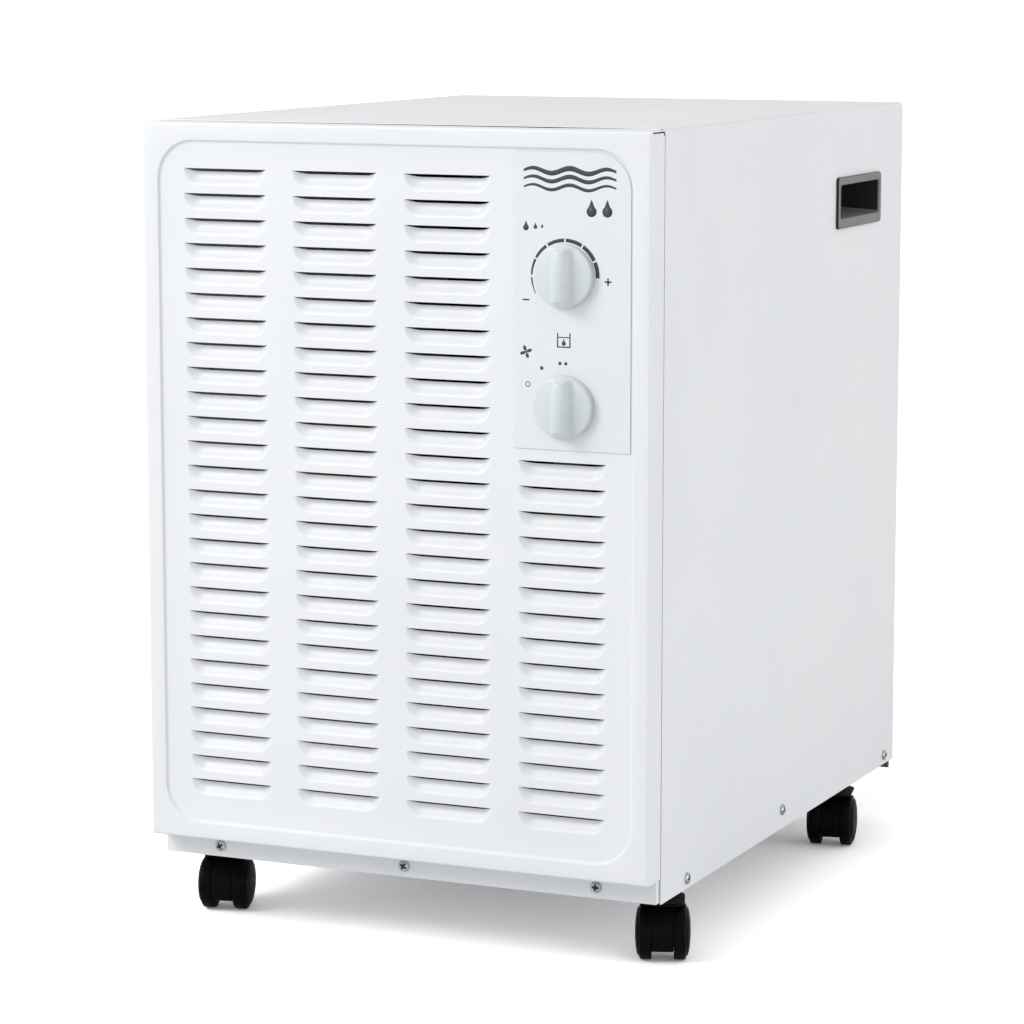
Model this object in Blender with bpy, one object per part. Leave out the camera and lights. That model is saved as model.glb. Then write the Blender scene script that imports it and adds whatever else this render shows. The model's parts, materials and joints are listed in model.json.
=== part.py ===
"""A cabinet dehumidifier on four twin-wheel casters, one object for each physical piece.

Metres. +X is the right side seen from the front, +Y the rear, +Z up. The origin is on the floor,
under the middle of the whole object. Heights count from the floor, and depths from the front face.
"""

import math

import bmesh
import bpy
from mathutils import Matrix, Vector

# Overall sizes
CASE_WIDTH = 0.390
CASE_DEPTH = 0.5425  # front face to rear plane
CASE_HEIGHT = 0.5364  # sheet steel cover, without the casters
SHEET = 0.0012  # steel of the cover and the panels
PAN_SHEET = 0.0015  # steel of the base pan and the brackets
GAP = 0.0003  # between pieces that touch
SEAM = 0.0010  # between the front panel and the cover
ROUND = 20  # sides of a round piece

# Front panel
PANEL_DEPTH = 0.0236
PANEL_DROP = 0.0009  # panel's top edge under the cover's top
PANEL_RISE = 0.0179  # panel's lower edge above the cover's lower edge
PANEL_EDGE_ROUND = 0.0022
FIELD_MARGIN_SIDE = 0.0130  # plain border beside the sunk field
FIELD_MARGIN_END = 0.0128
FIELD_SINK = 0.0018
FIELD_CORNER = 0.027

# Louvres
LOUVRE_COLUMNS = 4
LOUVRE_GAP = 0.0202  # between two columns
LOUVRE_MARGIN = 0.0194  # from the field's edge to the outer columns
LOUVRE_PITCH = 0.01765
LOUVRE_SLOT = 0.0020
LOUVRE_DROP = 0.0194  # from the field's top edge to the first slot
LOUVRE_FOOT = 0.0300  # least height of a slot above the field's lower edge
LOUVRE_UNDER_LABEL = 0.0050

# Controls
CONTROL_FROM_FIELD = 0.0503  # dial centres inside the field's right edge
HUMIDISTAT_DROP = 0.0985  # dial centre under the panel's top edge
SELECTOR_DROP = 0.1880
LABEL_FROM_FIELD = 0.0022
LABEL_WIDTH = 0.0858
LABEL_HEIGHT = 0.2028
LABEL_THICKNESS = 0.0005
KNOB_RADIUS = 0.0215
KNOB_HEIGHT = 0.0160
KNOB_SKIRT = 0.0050
KNOB_BLADE = 0.0070
SHAFT_RADIUS = 0.0030
SHAFT_CLEARANCE = 0.0006
SHAFT_IN_BODY = 0.010
DIAL_BODY = 0.046
DIAL_BODY_DEPTH = 0.026
BRACKET_STANDOFF = 0.012
BRACKET_SIDE = 0.011  # bracket's reach beside the dial bodies

# Side handles
HANDLE_FROM_REAR = 0.1132
HANDLE_DROP = 0.0717  # flange centre under the cover's top
HANDLE_FLANGE = (0.1020, 0.0394)
HANDLE_PROUD = 0.0024
HANDLE_MOUTH = (0.0932, 0.0254)
HANDLE_MOUTH_RISE = 0.0009  # the flange's lower border is wider than the upper one
HANDLE_CUP_DEPTH = 0.034
HANDLE_WALL = 0.0020

# Base pan
PAN_SETBACK = 0.0192
PAN_RISE = 0.0009  # pan's underside above the cover's lower edge
PAN_FLANGE = 0.0165
PAN_SCREW_INSET = 0.0450
SIDE_SCREW_ENDS = (0.0500, 0.0270)  # behind the seam, and from the rear plane
SIDE_SCREW_RISE = 0.0076
SIDE_SCREW_MIDDLE_RISE = 0.0070

# Rear
REAR_BORDER = 0.014
FILTER_SIDE_ROOM = 0.050
FILTER_TOP_ROOM = 0.040
FILTER_ABOVE_DECK = 0.030
FILTER_LIP = 0.006
FILTER_RIM = 0.006
FILTER_PROUD = 0.0026
FILTER_FRAME_DEPTH = 0.012
FILTER_BARS = 15
FILTER_BAR = 0.0028
FILTER_MAT = 0.0030
GLAND_RADIUS = 0.0075
GLAND_BORE = 0.0040
GLAND_PROUD = 0.0032
GLAND_LENGTH = 0.012  # behind the panel

# Water tank
TANK_SIDE_ROOM = 0.045
TANK_LENGTH = 0.205
TANK_LIFT = 0.0010  # over the pan's rear flange
TANK_HEIGHT = 0.145
TANK_WALL = 0.0025
TANK_PLATE = 0.0032
TANK_PLATE_MARGIN = 0.0050
TANK_PLATE_HANG = 0.0090  # plate's lower edge under the cover's
TANK_PLATE_ABOVE = 0.022  # plate's upper edge over the bucket's
TANK_GRIP = (0.110, 0.030)
TANK_GRIP_DEPTH = 0.022
TANK_GRIP_DROP = 0.020
RAIL_WIDTH = 0.018
RAIL_LIP = 0.003
RAIL_LIP_HEIGHT = 0.016
RAIL_CLEARANCE = 0.003
RAIL_END = 0.004
FLOAT_SIZE = (0.040, 0.046, 0.020)
FLOAT_ARM = 0.050
FLOAT_PIN_RADIUS = 0.0020
FLOAT_EAR_INNER = 0.0075
BAY_HEADROOM = 0.050

# Cold circuit and fan
COIL_SIDE_ROOM = 0.060
COIL_TOP_ROOM = 0.075
COIL_OVER_DECK = 0.022
COIL_DEPTH = 0.034
COIL_FOLDS = 22
FIN = 0.0010
COIL_TUBE = 0.0045
COIL_PASSES = 6
TURN_STEPS = 8  # facets of each half turn
PIPE = 0.0035
PIPE_BEND = 0.012
PIPE_SPREAD = 0.020  # from the compressor's axis to each pipe
PIPE_OVER_DECK = 0.030
EVAPORATOR_FROM_REAR = 0.036
COIL_SPACING = 0.062
TRAY_WALL = 0.0020
TRAY_UNDER_COIL = 0.003
SPOUT_RADIUS = 0.0085
SPOUT_CLEARANCE = 0.0010
SPOUT_OVER_TANK = 0.010
SHROUD_RIM = 0.009
SHROUD_COLLAR = 0.018
FAN_TIP_GAP = 0.006
FAN_HUB = 0.026
FAN_HUB_DEPTH = 0.020
FAN_BLADES = 5
FAN_PITCH = math.radians(24)
MOTOR_RADIUS = 0.042
MOTOR_LENGTH = 0.060
DECK_FRONT_ROOM = 0.090  # deck's reach in front of the splash wall
DECK_FOLD = 0.018
COMPRESSOR_RADIUS = 0.064
COMPRESSOR_HEIGHT = 0.168
COMPRESSOR_WALL = 0.0100
COMPRESSOR_FROM_FACE = 0.150
COMPRESSOR_X = -0.030
CAPACITOR_RADIUS = 0.019
CAPACITOR_HEIGHT = 0.082
CAPACITOR_FROM_SIDE = 0.045
CAPACITOR_FROM_FACE = 0.090
FOOT_RADIUS = 0.011
FOOT_HEIGHT = 0.014

# Screws
SCREW_HEAD = 0.0042
SCREW_HEAD_HEIGHT = 0.0024
SCREW_SHANK = 0.0019
SCREW_LENGTH = 0.0095

# Casters
WHEEL_RADIUS = 0.0200
WHEEL_SIDES = 20
WHEEL_WIDTH = 0.0115
WHEEL_TREAD = 0.0075
WHEEL_GAP = 0.0164  # between the two wheels of a pair
AXLE_RADIUS = 0.0030
CASTER_TRAIL = 0.0130
CASTER_INSET_SIDE = 0.0210
CASTER_INSET_FRONT = 0.0820
CASTER_INSET_REAR = 0.0880
HOOD_OVER_WHEEL = 0.0026
HOOD_CAP_WIDTH = 0.031
HOOD_CAP = 0.0020
HOOD_LOW = 0.0088
HOOD_STEPS = 14  # facets of the web's round front
STEM_RADIUS = 0.0050
STEM_IN_HOOD = 0.016
STEM_RISE = 0.0090  # from the hood's top to the cover's lower edge
CASTER_PLATE = 0.036

# Places that follow from the sizes
HOOD_TOP = 2 * WHEEL_RADIUS + HOOD_OVER_WHEEL
CASE_LOW = HOOD_TOP + STEM_RISE
CASE_TOP = CASE_LOW + CASE_HEIGHT
PANEL_TOP = CASE_TOP - PANEL_DROP
PANEL_LOW = CASE_LOW + PANEL_RISE
FIELD_RIGHT = CASE_WIDTH / 2 - FIELD_MARGIN_SIDE
FIELD_TOP = PANEL_TOP - FIELD_MARGIN_END
FIELD_LOW = PANEL_LOW + FIELD_MARGIN_END
KNOB_FROM_FIELD = LABEL_THICKNESS + 2 * GAP
FRONT_PROUD = KNOB_HEIGHT + KNOB_FROM_FIELD - FIELD_SINK
REAR_PROUD = TANK_PLATE + GAP
FACE_Y = (FRONT_PROUD - REAR_PROUD - CASE_DEPTH) / 2
REAR_Y = FACE_Y + CASE_DEPTH
FIELD_Y = FACE_Y + FIELD_SINK
COVER_FRONT_Y = FACE_Y + PANEL_DEPTH + SEAM
PAN_LOW = CASE_LOW + PAN_RISE
PAN_FLOOR = PAN_LOW + PAN_SHEET
PAN_FRONT_Y = FACE_Y + PAN_SETBACK
INNER_X = CASE_WIDTH / 2 - SHEET - GAP  # what fits between the cover's sides
REAR_PANEL_Y = REAR_Y - SHEET - GAP  # outer face of the rear panel
INNER_REAR_Y = REAR_PANEL_Y - SHEET - GAP
CONTROL_X = FIELD_RIGHT - CONTROL_FROM_FIELD
TANK_WIDTH = CASE_WIDTH - 2 * TANK_SIDE_ROOM
TANK_REAR_Y = REAR_Y + GAP
TANK_FRONT_Y = TANK_REAR_Y - TANK_LENGTH
TANK_LOW = PAN_LOW + PAN_FLANGE + TANK_LIFT
TANK_TOP = TANK_LOW + TANK_HEIGHT
TANK_PLATE_TOP = TANK_TOP + TANK_PLATE_ABOVE
SPLASH_Y = TANK_FRONT_Y - 0.012
DECK_HEIGHT = TANK_TOP + BAY_HEADROOM
DECK_TOP = DECK_HEIGHT + PAN_SHEET
DECK_FRONT_Y = SPLASH_Y - DECK_FRONT_ROOM
COIL_WIDTH = CASE_WIDTH - 2 * COIL_SIDE_ROOM
COIL_LOW = DECK_TOP + COIL_OVER_DECK
COIL_HEIGHT = CASE_TOP - COIL_TOP_ROOM - COIL_LOW
EVAPORATOR_Y = REAR_PANEL_Y - EVAPORATOR_FROM_REAR - COIL_DEPTH / 2
CONDENSER_Y = EVAPORATOR_Y - COIL_SPACING
SHROUD_Y = CONDENSER_Y - COIL_DEPTH / 2 - 0.016
SHROUD_HOLE = min(COIL_HEIGHT, COIL_WIDTH) / 2 - SHROUD_RIM
FAN_RADIUS = SHROUD_HOLE - FAN_TIP_GAP
FAN_HEIGHT = COIL_LOW + COIL_HEIGHT / 2
FAN_Y = SHROUD_Y - 0.014
COMPRESSOR_Y = FACE_Y + COMPRESSOR_FROM_FACE


def clear_scene():
    for obj in list(bpy.data.objects):
        bpy.data.objects.remove(obj, do_unlink=True)


def material(name, colour, roughness=0.5, metallic=0.0):
    made = bpy.data.materials.get(name) or bpy.data.materials.new(name)
    made.use_nodes = True
    shader = made.node_tree.nodes["Principled BSDF"]
    shader.inputs["Base Color"].default_value = (*colour, 1.0)
    shader.inputs["Roughness"].default_value = roughness
    shader.inputs["Metallic"].default_value = metallic
    made.diffuse_color = (*colour, 1.0)
    return made


# ---- shapes in a bmesh ----


def add_box(bm, low, high):
    middle = [(a + b) / 2 for a, b in zip(low, high)]
    size = [b - a for a, b in zip(low, high)]
    place = Matrix.Translation(middle) @ Matrix.Diagonal((*size, 1.0))
    bmesh.ops.create_cube(bm, size=1.0, matrix=place)


def add_prism(bm, outline, start, end, turn=Matrix.Identity(4)):
    """The outline, counter-clockwise in X and Y, drawn out along Z and then placed by turn."""
    rings = []
    for height in (start, end):
        rings.append([bm.verts.new(turn @ Vector((x, y, height))) for x, y in outline])
    low, high = rings
    bm.faces.new(low[::-1])
    bm.faces.new(high)
    count = len(outline)
    for i in range(count):
        j = (i + 1) % count
        bm.faces.new((low[i], low[j], high[j], high[i]))


def add_turned(bm, profile, turn=Matrix.Identity(4), sides=ROUND):
    """A closed profile of (radius, height) turned round Z, with a flat of the polygon at -Y."""
    rings = []
    for radius, height in profile:
        if radius == 0:
            rings.append([bm.verts.new(turn @ Vector((0, 0, height)))])
            continue
        ring = []
        for i in range(sides):
            angle = 2 * math.pi * (i + 0.5) / sides - math.pi / 2
            spot = Vector((radius * math.cos(angle), radius * math.sin(angle), height))
            ring.append(bm.verts.new(turn @ spot))
        rings.append(ring)
    for i, ring in enumerate(rings):
        after = rings[(i + 1) % len(rings)]
        if len(ring) == 1 and len(after) == 1:
            continue
        for k in range(sides):
            m = (k + 1) % sides
            if len(ring) == 1:
                bm.faces.new((ring[0], after[m], after[k]))
            elif len(after) == 1:
                bm.faces.new((ring[k], ring[m], after[0]))
            else:
                bm.faces.new((ring[k], ring[m], after[m], after[k]))
    bmesh.ops.recalc_face_normals(bm, faces=bm.faces)


def add_rod(bm, radius, start, end, turn=Matrix.Identity(4), sides=ROUND):
    add_turned(bm, [(0, start), (radius, start), (radius, end), (0, end)], turn, sides)


def add_ring(bm, inner, outer, start, end, turn=Matrix.Identity(4), sides=ROUND):
    profile = [(inner, start), (outer, start), (outer, end), (inner, end)]
    add_turned(bm, profile, turn, sides)


def rounded_rectangle(width, height, radius, steps=6):
    points = []
    for corner, (sx, sy) in enumerate(((1, 1), (-1, 1), (-1, -1), (1, -1))):
        cx = sx * (width / 2 - radius)
        cy = sy * (height / 2 - radius)
        for i in range(steps + 1):
            angle = math.pi / 2 * (corner + i / steps)
            points.append((cx + radius * math.cos(angle), cy + radius * math.sin(angle)))
    return points


def along_x(x, y, z):
    """Local Z becomes world +X, and local Y world +Z."""
    return Matrix.Translation((x, y, z)) @ Matrix(((0, 0, 1, 0), (1, 0, 0, 0), (0, 1, 0, 0), (0, 0, 0, 1)))


def along_y(x, y, z):
    """Local Z becomes world -Y, towards the front, local X stays X, and local Y becomes +Z."""
    return Matrix.Translation((x, y, z)) @ Matrix.Rotation(math.pi / 2, 4, "X")


def at(x, y, z):
    return Matrix.Translation((x, y, z))


# ---- objects ----


def make(name, bm, look, origin=(0, 0, 0), parent=None, smooth=True):
    """An object from a bmesh in world space (or the parent's space), with its origin where it turns."""
    bmesh.ops.recalc_face_normals(bm, faces=bm.faces)
    bmesh.ops.translate(bm, verts=bm.verts, vec=-Vector(origin))
    mesh = bpy.data.meshes.new(name)
    bm.to_mesh(mesh)
    bm.free()
    if smooth:
        mesh.shade_smooth()
        mesh.set_sharp_from_angle(angle=math.radians(35))
    mesh.materials.append(look)
    obj = bpy.data.objects.new(name, mesh)
    obj.location = origin
    obj.parent = parent
    bpy.context.scene.collection.objects.link(obj)
    return obj


def helper(name, bm, parent=None):
    """A shape used only to cut or join another."""
    bmesh.ops.recalc_face_normals(bm, faces=bm.faces)
    mesh = bpy.data.meshes.new(name)
    bm.to_mesh(mesh)
    bm.free()
    obj = bpy.data.objects.new(name, mesh)
    obj.parent = parent
    obj.hide_render = True
    obj.display_type = "WIRE"
    bpy.context.scene.collection.objects.link(obj)
    return obj


def combine(obj, bm, operation, parent=None):
    """Cuts the bmesh's shapes, which may cross each other, out of the object, or joins them on."""
    modifier = obj.modifiers.new(operation.lower(), "BOOLEAN")
    modifier.operation = operation
    modifier.solver = "EXACT"
    modifier.use_self = True
    modifier.object = helper(f"{obj.name}.{operation.lower()}.{len(obj.modifiers)}", bm, parent)
    return modifier


def box_piece(name, low, high, look):
    bm = bmesh.new()
    add_box(bm, low, high)
    return make(name, bm, look)


def empty(name, location, turn=0.0):
    marker = bpy.data.objects.new(name, None)
    marker.location = location
    marker.rotation_euler = (0, 0, turn)
    bpy.context.scene.collection.objects.link(marker)
    return marker


# ---- materials ----


def looks():
    return {
        "white": material("white_enamel", (0.86, 0.87, 0.88), 0.38),
        "label": material("label_film", (0.80, 0.84, 0.87), 0.30),
        "knob": material("knob_plastic", (0.84, 0.87, 0.89), 0.28),
        "grey": material("grey_plastic", (0.22, 0.22, 0.22), 0.45),
        "slate": material("slate_plastic", (0.085, 0.105, 0.11), 0.45),
        "black": material("black_plastic", (0.012, 0.012, 0.014), 0.38),
        "rubber": material("black_rubber", (0.02, 0.02, 0.02), 0.8),
        "zinc": material("zinc_steel", (0.60, 0.63, 0.65), 0.32, 1.0),
        "galvanised": material("galvanised_steel", (0.55, 0.57, 0.58), 0.42, 1.0),
        "aluminium": material("aluminium_fins", (0.75, 0.76, 0.77), 0.35, 1.0),
        "copper": material("copper_pipe", (0.72, 0.38, 0.24), 0.30, 1.0),
        "motor": material("black_enamel", (0.02, 0.02, 0.022), 0.35),
        "foam": material("filter_foam", (0.08, 0.085, 0.09), 0.9),
    }


# ---- cabinet ----


def side_screw_places():
    """Depth from the face and height above the cover's lower edge of each side screw."""
    behind_seam, before_rear = SIDE_SCREW_ENDS
    return (
        (PANEL_DEPTH + behind_seam, SIDE_SCREW_RISE),
        (CASE_DEPTH / 2, SIDE_SCREW_RISE + SIDE_SCREW_MIDDLE_RISE),
        (CASE_DEPTH - before_rear, SIDE_SCREW_RISE),
    )


def side_screw_holes(bm):
    for depth, rise in side_screw_places():
        for x in (-INNER_X, INNER_X):
            turn = along_x(x, FACE_Y + depth, CASE_LOW + rise)
            add_rod(bm, SCREW_SHANK + GAP, -0.006, 0.006, turn, 12)


def make_cover(look):
    bm = bmesh.new()
    half = CASE_WIDTH / 2
    add_box(bm, (-half, COVER_FRONT_Y, CASE_LOW), (half, REAR_Y, CASE_TOP))
    rounded = [e for e in bm.edges if rounded_cover_edge(e)]
    bmesh.ops.bevel(bm, geom=rounded, offset=0.0035, segments=3, profile=0.5, affect="EDGES")
    cover = make("cabinet_cover", bm, look)
    bm = bmesh.new()
    add_box(
        bm,
        (-half + SHEET, COVER_FRONT_Y - 0.01, CASE_LOW - 0.01),
        (half - SHEET, REAR_Y - SHEET, CASE_TOP - SHEET),
    )
    combine(cover, bm, "DIFFERENCE")
    bm = bmesh.new()
    border = half - REAR_BORDER
    low, high = (-border, REAR_Y - 0.02, CASE_LOW - 0.01), (border, REAR_Y + 0.01, CASE_TOP - REAR_BORDER)
    add_box(bm, low, high)
    mouth_w, mouth_h = HANDLE_MOUTH
    cut_w = mouth_w / 2 + HANDLE_WALL + GAP
    cut_h = mouth_h / 2 + HANDLE_WALL + GAP
    y, z = handle_centre()
    add_box(bm, (-half - 0.01, y - cut_w, z - cut_h), (-half + 0.01, y + cut_w, z + cut_h))
    add_box(bm, (half - 0.01, y - cut_w, z - cut_h), (half + 0.01, y + cut_w, z + cut_h))
    side_screw_holes(bm)
    combine(cover, bm, "DIFFERENCE")


def rounded_cover_edge(edge):
    a, b = (v.co for v in edge.verts)
    side = abs(abs(a.x) - CASE_WIDTH / 2) < 1e-6 and abs(a.x - b.x) < 1e-6
    top = abs(a.z - CASE_TOP) < 1e-6 and abs(b.z - CASE_TOP) < 1e-6
    rear = abs(a.y - REAR_Y) < 1e-6 and abs(b.y - REAR_Y) < 1e-6
    return (side and top) or (side and rear) or (top and rear)


def handle_centre():
    """Y and Z of the cup's mouth."""
    return REAR_Y - HANDLE_FROM_REAR, CASE_TOP - HANDLE_DROP + HANDLE_MOUTH_RISE


def make_handles(look):
    y, z = handle_centre()
    flange_w, flange_h = (size / 2 for size in HANDLE_FLANGE)
    mouth_w, mouth_h = (size / 2 for size in HANDLE_MOUTH)
    for name, side in (("handle_left", -1), ("handle_right", 1)):
        outer = CASE_WIDTH / 2 + GAP
        proud = outer + HANDLE_PROUD
        inner = proud - HANDLE_CUP_DEPTH - HANDLE_WALL
        mid = z - HANDLE_MOUTH_RISE
        bm = bmesh.new()
        low, high = (outer, y - flange_w, mid - flange_h), (proud, y + flange_w, mid + flange_h)
        add_box(bm, *mirrored(side, low, high))
        cup = make(name, bm, look, smooth=False)
        wall_w, wall_h = mouth_w + HANDLE_WALL, mouth_h + HANDLE_WALL
        bm = bmesh.new()
        low, high = (inner, y - wall_w, z - wall_h), (proud - 0.0004, y + wall_w, z + wall_h)
        add_box(bm, *mirrored(side, low, high))
        combine(cup, bm, "UNION")
        bm = bmesh.new()
        low = (inner + HANDLE_WALL, y - mouth_w, z - mouth_h)
        high = (proud + 0.01, y + mouth_w, z + mouth_h)
        add_box(bm, *mirrored(side, low, high))
        combine(cup, bm, "DIFFERENCE")


def mirrored(side, low, high):
    if side > 0:
        return low, high
    return (-high[0], low[1], low[2]), (-low[0], high[1], high[2])


def front_screw_places():
    return (-INNER_X + PAN_SCREW_INSET, 0.0, INNER_X - PAN_SCREW_INSET)


def make_base_pan(look):
    rear = INNER_REAR_Y
    bm = bmesh.new()
    add_box(bm, (-INNER_X, PAN_FRONT_Y, PAN_LOW), (INNER_X, rear, PAN_LOW + PAN_FLANGE))
    pan = make("base_pan", bm, look, smooth=False)
    bm = bmesh.new()
    low = (-INNER_X + PAN_SHEET, PAN_FRONT_Y + PAN_SHEET, PAN_FLOOR)
    high = (INNER_X - PAN_SHEET, rear - PAN_SHEET, PAN_LOW + PAN_FLANGE + 0.01)
    add_box(bm, low, high)
    side_screw_holes(bm)
    for x in front_screw_places():
        turn = along_y(x, PAN_FRONT_Y, front_screw_height())
        add_rod(bm, SCREW_SHANK + GAP, -0.005, 0.005, turn, 12)
    combine(pan, bm, "DIFFERENCE")


def front_screw_height():
    return PAN_LOW + PAN_FLANGE / 2


def panel_centre():
    return (PANEL_TOP + PANEL_LOW) / 2


def field_outline(grow):
    width = CASE_WIDTH - 2 * FIELD_MARGIN_SIDE + 2 * grow
    height = PANEL_TOP - PANEL_LOW - 2 * FIELD_MARGIN_END + 2 * grow
    return rounded_rectangle(width, height, FIELD_CORNER + grow)


def louvre_places():
    """Left end, right end and height of each slot, column by column from the left."""
    pitch = (2 * (FIELD_RIGHT - LOUVRE_MARGIN) + LOUVRE_GAP) / LOUVRE_COLUMNS
    label_low = FIELD_TOP - LABEL_FROM_FIELD - LABEL_HEIGHT
    for column in range(LOUVRE_COLUMNS):
        left = LOUVRE_MARGIN - FIELD_RIGHT + column * pitch
        height = FIELD_TOP - LOUVRE_DROP
        while height > FIELD_LOW + LOUVRE_FOOT:
            if column < LOUVRE_COLUMNS - 1 or height < label_low - LOUVRE_UNDER_LABEL:
                yield left, left + pitch - LOUVRE_GAP, height
            height -= LOUVRE_PITCH


def dial_heights():
    return PANEL_TOP - HUMIDISTAT_DROP, PANEL_TOP - SELECTOR_DROP


def make_front_panel(look):
    half = CASE_WIDTH / 2
    mid = panel_centre()
    bm = bmesh.new()
    add_box(bm, (-half, FACE_Y, PANEL_LOW), (half, FACE_Y + PANEL_DEPTH, PANEL_TOP))
    front = [e for e in bm.edges if all(abs(v.co.y - FACE_Y) < 1e-6 for v in e.verts)]
    bmesh.ops.bevel(bm, geom=front, offset=PANEL_EDGE_ROUND, segments=2, profile=0.5, affect="EDGES")
    panel = make("front_panel", bm, look)
    bm = bmesh.new()
    add_prism(bm, field_outline(0), -FIELD_SINK, 0.01, along_y(0, FACE_Y, mid))
    combine(panel, bm, "DIFFERENCE")
    bm = bmesh.new()
    low = (-half + SHEET, FACE_Y + SHEET, PANEL_LOW + SHEET)
    high = (half - SHEET, FACE_Y + PANEL_DEPTH + 0.01, PANEL_TOP - SHEET)
    add_box(bm, low, high)
    hollow = helper("front_panel.hollow", bm)
    bm = bmesh.new()
    add_prism(bm, field_outline(SHEET), -FIELD_SINK - SHEET, 0.01, along_y(0, FACE_Y, mid))
    combine(hollow, bm, "DIFFERENCE")
    modifier = panel.modifiers.new("hollow", "BOOLEAN")
    modifier.operation = "DIFFERENCE"
    modifier.object = hollow
    bm = bmesh.new()
    for left, right, z in louvre_places():
        add_box(bm, (left, FACE_Y - 0.002, z - LOUVRE_SLOT), (right, FACE_Y + 0.008, z))
    for z in dial_heights():
        add_rod(bm, SHAFT_RADIUS + SHAFT_CLEARANCE, -0.010, 0.005, along_y(CONTROL_X, FACE_Y, z), 16)
    combine(panel, bm, "DIFFERENCE")


# ---- controls ----


def make_label(look):
    """A printed film on the sunk field, rounded where it follows the field's corner."""
    right = FIELD_RIGHT - LABEL_FROM_FIELD
    left = right - LABEL_WIDTH
    high = FIELD_TOP - LABEL_FROM_FIELD
    low = high - LABEL_HEIGHT
    corner = FIELD_CORNER - LABEL_FROM_FIELD
    outline = [(left, high), (left, low), (right, low)]
    for i in range(7):
        angle = math.pi / 2 * i / 6
        x = right - corner * (1 - math.cos(angle))
        outline.append((x, high - corner * (1 - math.sin(angle))))
    bm = bmesh.new()
    add_prism(bm, outline, GAP, GAP + LABEL_THICKNESS, along_y(0, FIELD_Y, 0))
    label = make("control_label", bm, look, smooth=False)
    bm = bmesh.new()
    for z in dial_heights():
        add_rod(bm, SHAFT_RADIUS + SHAFT_CLEARANCE, -0.005, 0.005, along_y(CONTROL_X, FIELD_Y, z), 16)
    combine(label, bm, "DIFFERENCE")


def knob_bmesh(place):
    """A skirted disc with a low dome, from its seat to the foot of the grip."""
    r, h = KNOB_RADIUS, KNOB_SKIRT
    dome = h + 0.35 * (KNOB_HEIGHT - KNOB_SKIRT)
    profile = [
        (SHAFT_RADIUS + GAP, 0),
        (r, 0),
        (r * 0.985, h * 0.5),
        (r * 0.93, h),
        (r * 0.6, dome - 0.0008),
        (0, dome),
        (0, h * 0.6),
        (SHAFT_RADIUS + GAP, h * 0.6),
    ]
    bm = bmesh.new()
    add_turned(bm, profile, place, 32)
    return bm


def knob_blade(place):
    """The grip: a bar over the whole disc, highest in its middle."""
    bm = bmesh.new()
    half = KNOB_RADIUS * 0.93
    top = KNOB_HEIGHT
    outline = [(-half, KNOB_SKIRT * 0.8), (half, KNOB_SKIRT * 0.8)]
    for i in range(1, 8):
        angle = math.pi * i / 8
        x = half * math.cos(angle)
        outline.append((x, KNOB_SKIRT + (top - KNOB_SKIRT) * math.sin(angle) ** 0.6))
    turn = place @ Matrix(((0, 0, 1, 0), (1, 0, 0, 0), (0, 1, 0, 0), (0, 0, 0, 1)))
    add_prism(bm, outline, -KNOB_BLADE / 2, KNOB_BLADE / 2, turn)
    return bm


def make_dial(kind, height, look):
    """A dial's knob and its shaft, which turn, and the body behind the panel, which stays."""
    seat = FIELD_Y - KNOB_FROM_FIELD
    knob_place = along_y(CONTROL_X, seat, height)
    knob = make(f"{kind}_knob", knob_bmesh(knob_place), look["knob"], (CONTROL_X, seat, height))
    combine(knob, knob_blade(knob_place), "UNION")
    body_front = FACE_Y + FIELD_SINK + SHEET + BRACKET_STANDOFF + PAN_SHEET + GAP
    bm = bmesh.new()
    reach = body_front + SHAFT_IN_BODY - seat
    add_rod(bm, SHAFT_RADIUS, -reach, KNOB_SKIRT * 0.6 - GAP, knob_place, 16)
    make(f"{kind}_shaft", bm, look["zinc"], (CONTROL_X, seat, height))
    half = DIAL_BODY / 2
    low = (CONTROL_X - half, body_front, height - half)
    bm = bmesh.new()
    add_box(bm, low, (CONTROL_X + half, body_front + DIAL_BODY_DEPTH, height + half))
    body = make(f"{kind}_body", bm, look["black"], smooth=False)
    bm = bmesh.new()
    add_rod(bm, SHAFT_RADIUS + GAP, -SHAFT_IN_BODY - GAP, 0.01, along_y(CONTROL_X, body_front, height), 16)
    combine(body, bm, "DIFFERENCE")


def make_control_bracket(look):
    """A folded plate behind the dials, hung from the panel's inner side."""
    front = FACE_Y + FIELD_SINK + SHEET + GAP
    rear = front + BRACKET_STANDOFF
    upper, lower = dial_heights()
    high = upper + DIAL_BODY / 2 + 0.018
    low = lower - DIAL_BODY / 2 - 0.012
    reach = DIAL_BODY / 2 + BRACKET_SIDE
    left, right = CONTROL_X - reach, CONTROL_X + reach
    bm = bmesh.new()
    add_box(bm, (left, front, low), (right, rear, high))
    bracket = make("control_bracket", bm, look, smooth=False)
    bm = bmesh.new()
    inner_low = (left + PAN_SHEET, front - 0.01, low - 0.01)
    add_box(bm, inner_low, (right - PAN_SHEET, rear - PAN_SHEET, high + 0.01))
    for z in (upper, lower):
        place = along_y(CONTROL_X, rear - PAN_SHEET, z)
        add_rod(bm, SHAFT_RADIUS + SHAFT_CLEARANCE, -0.02, 0.005, place, 16)
    combine(bracket, bm, "DIFFERENCE")


# ---- rear ----


def tank_opening():
    """Half width, lowest and highest point of the bay's mouth in the rear panel."""
    return TANK_WIDTH / 2 + 0.004, PAN_LOW + PAN_FLANGE + 0.0005, TANK_TOP + 0.006


def filter_window():
    """Half width, lowest and highest point of the air filter's window."""
    return CASE_WIDTH / 2 - FILTER_SIDE_ROOM, DECK_TOP + FILTER_ABOVE_DECK, CASE_TOP - FILTER_TOP_ROOM


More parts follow.
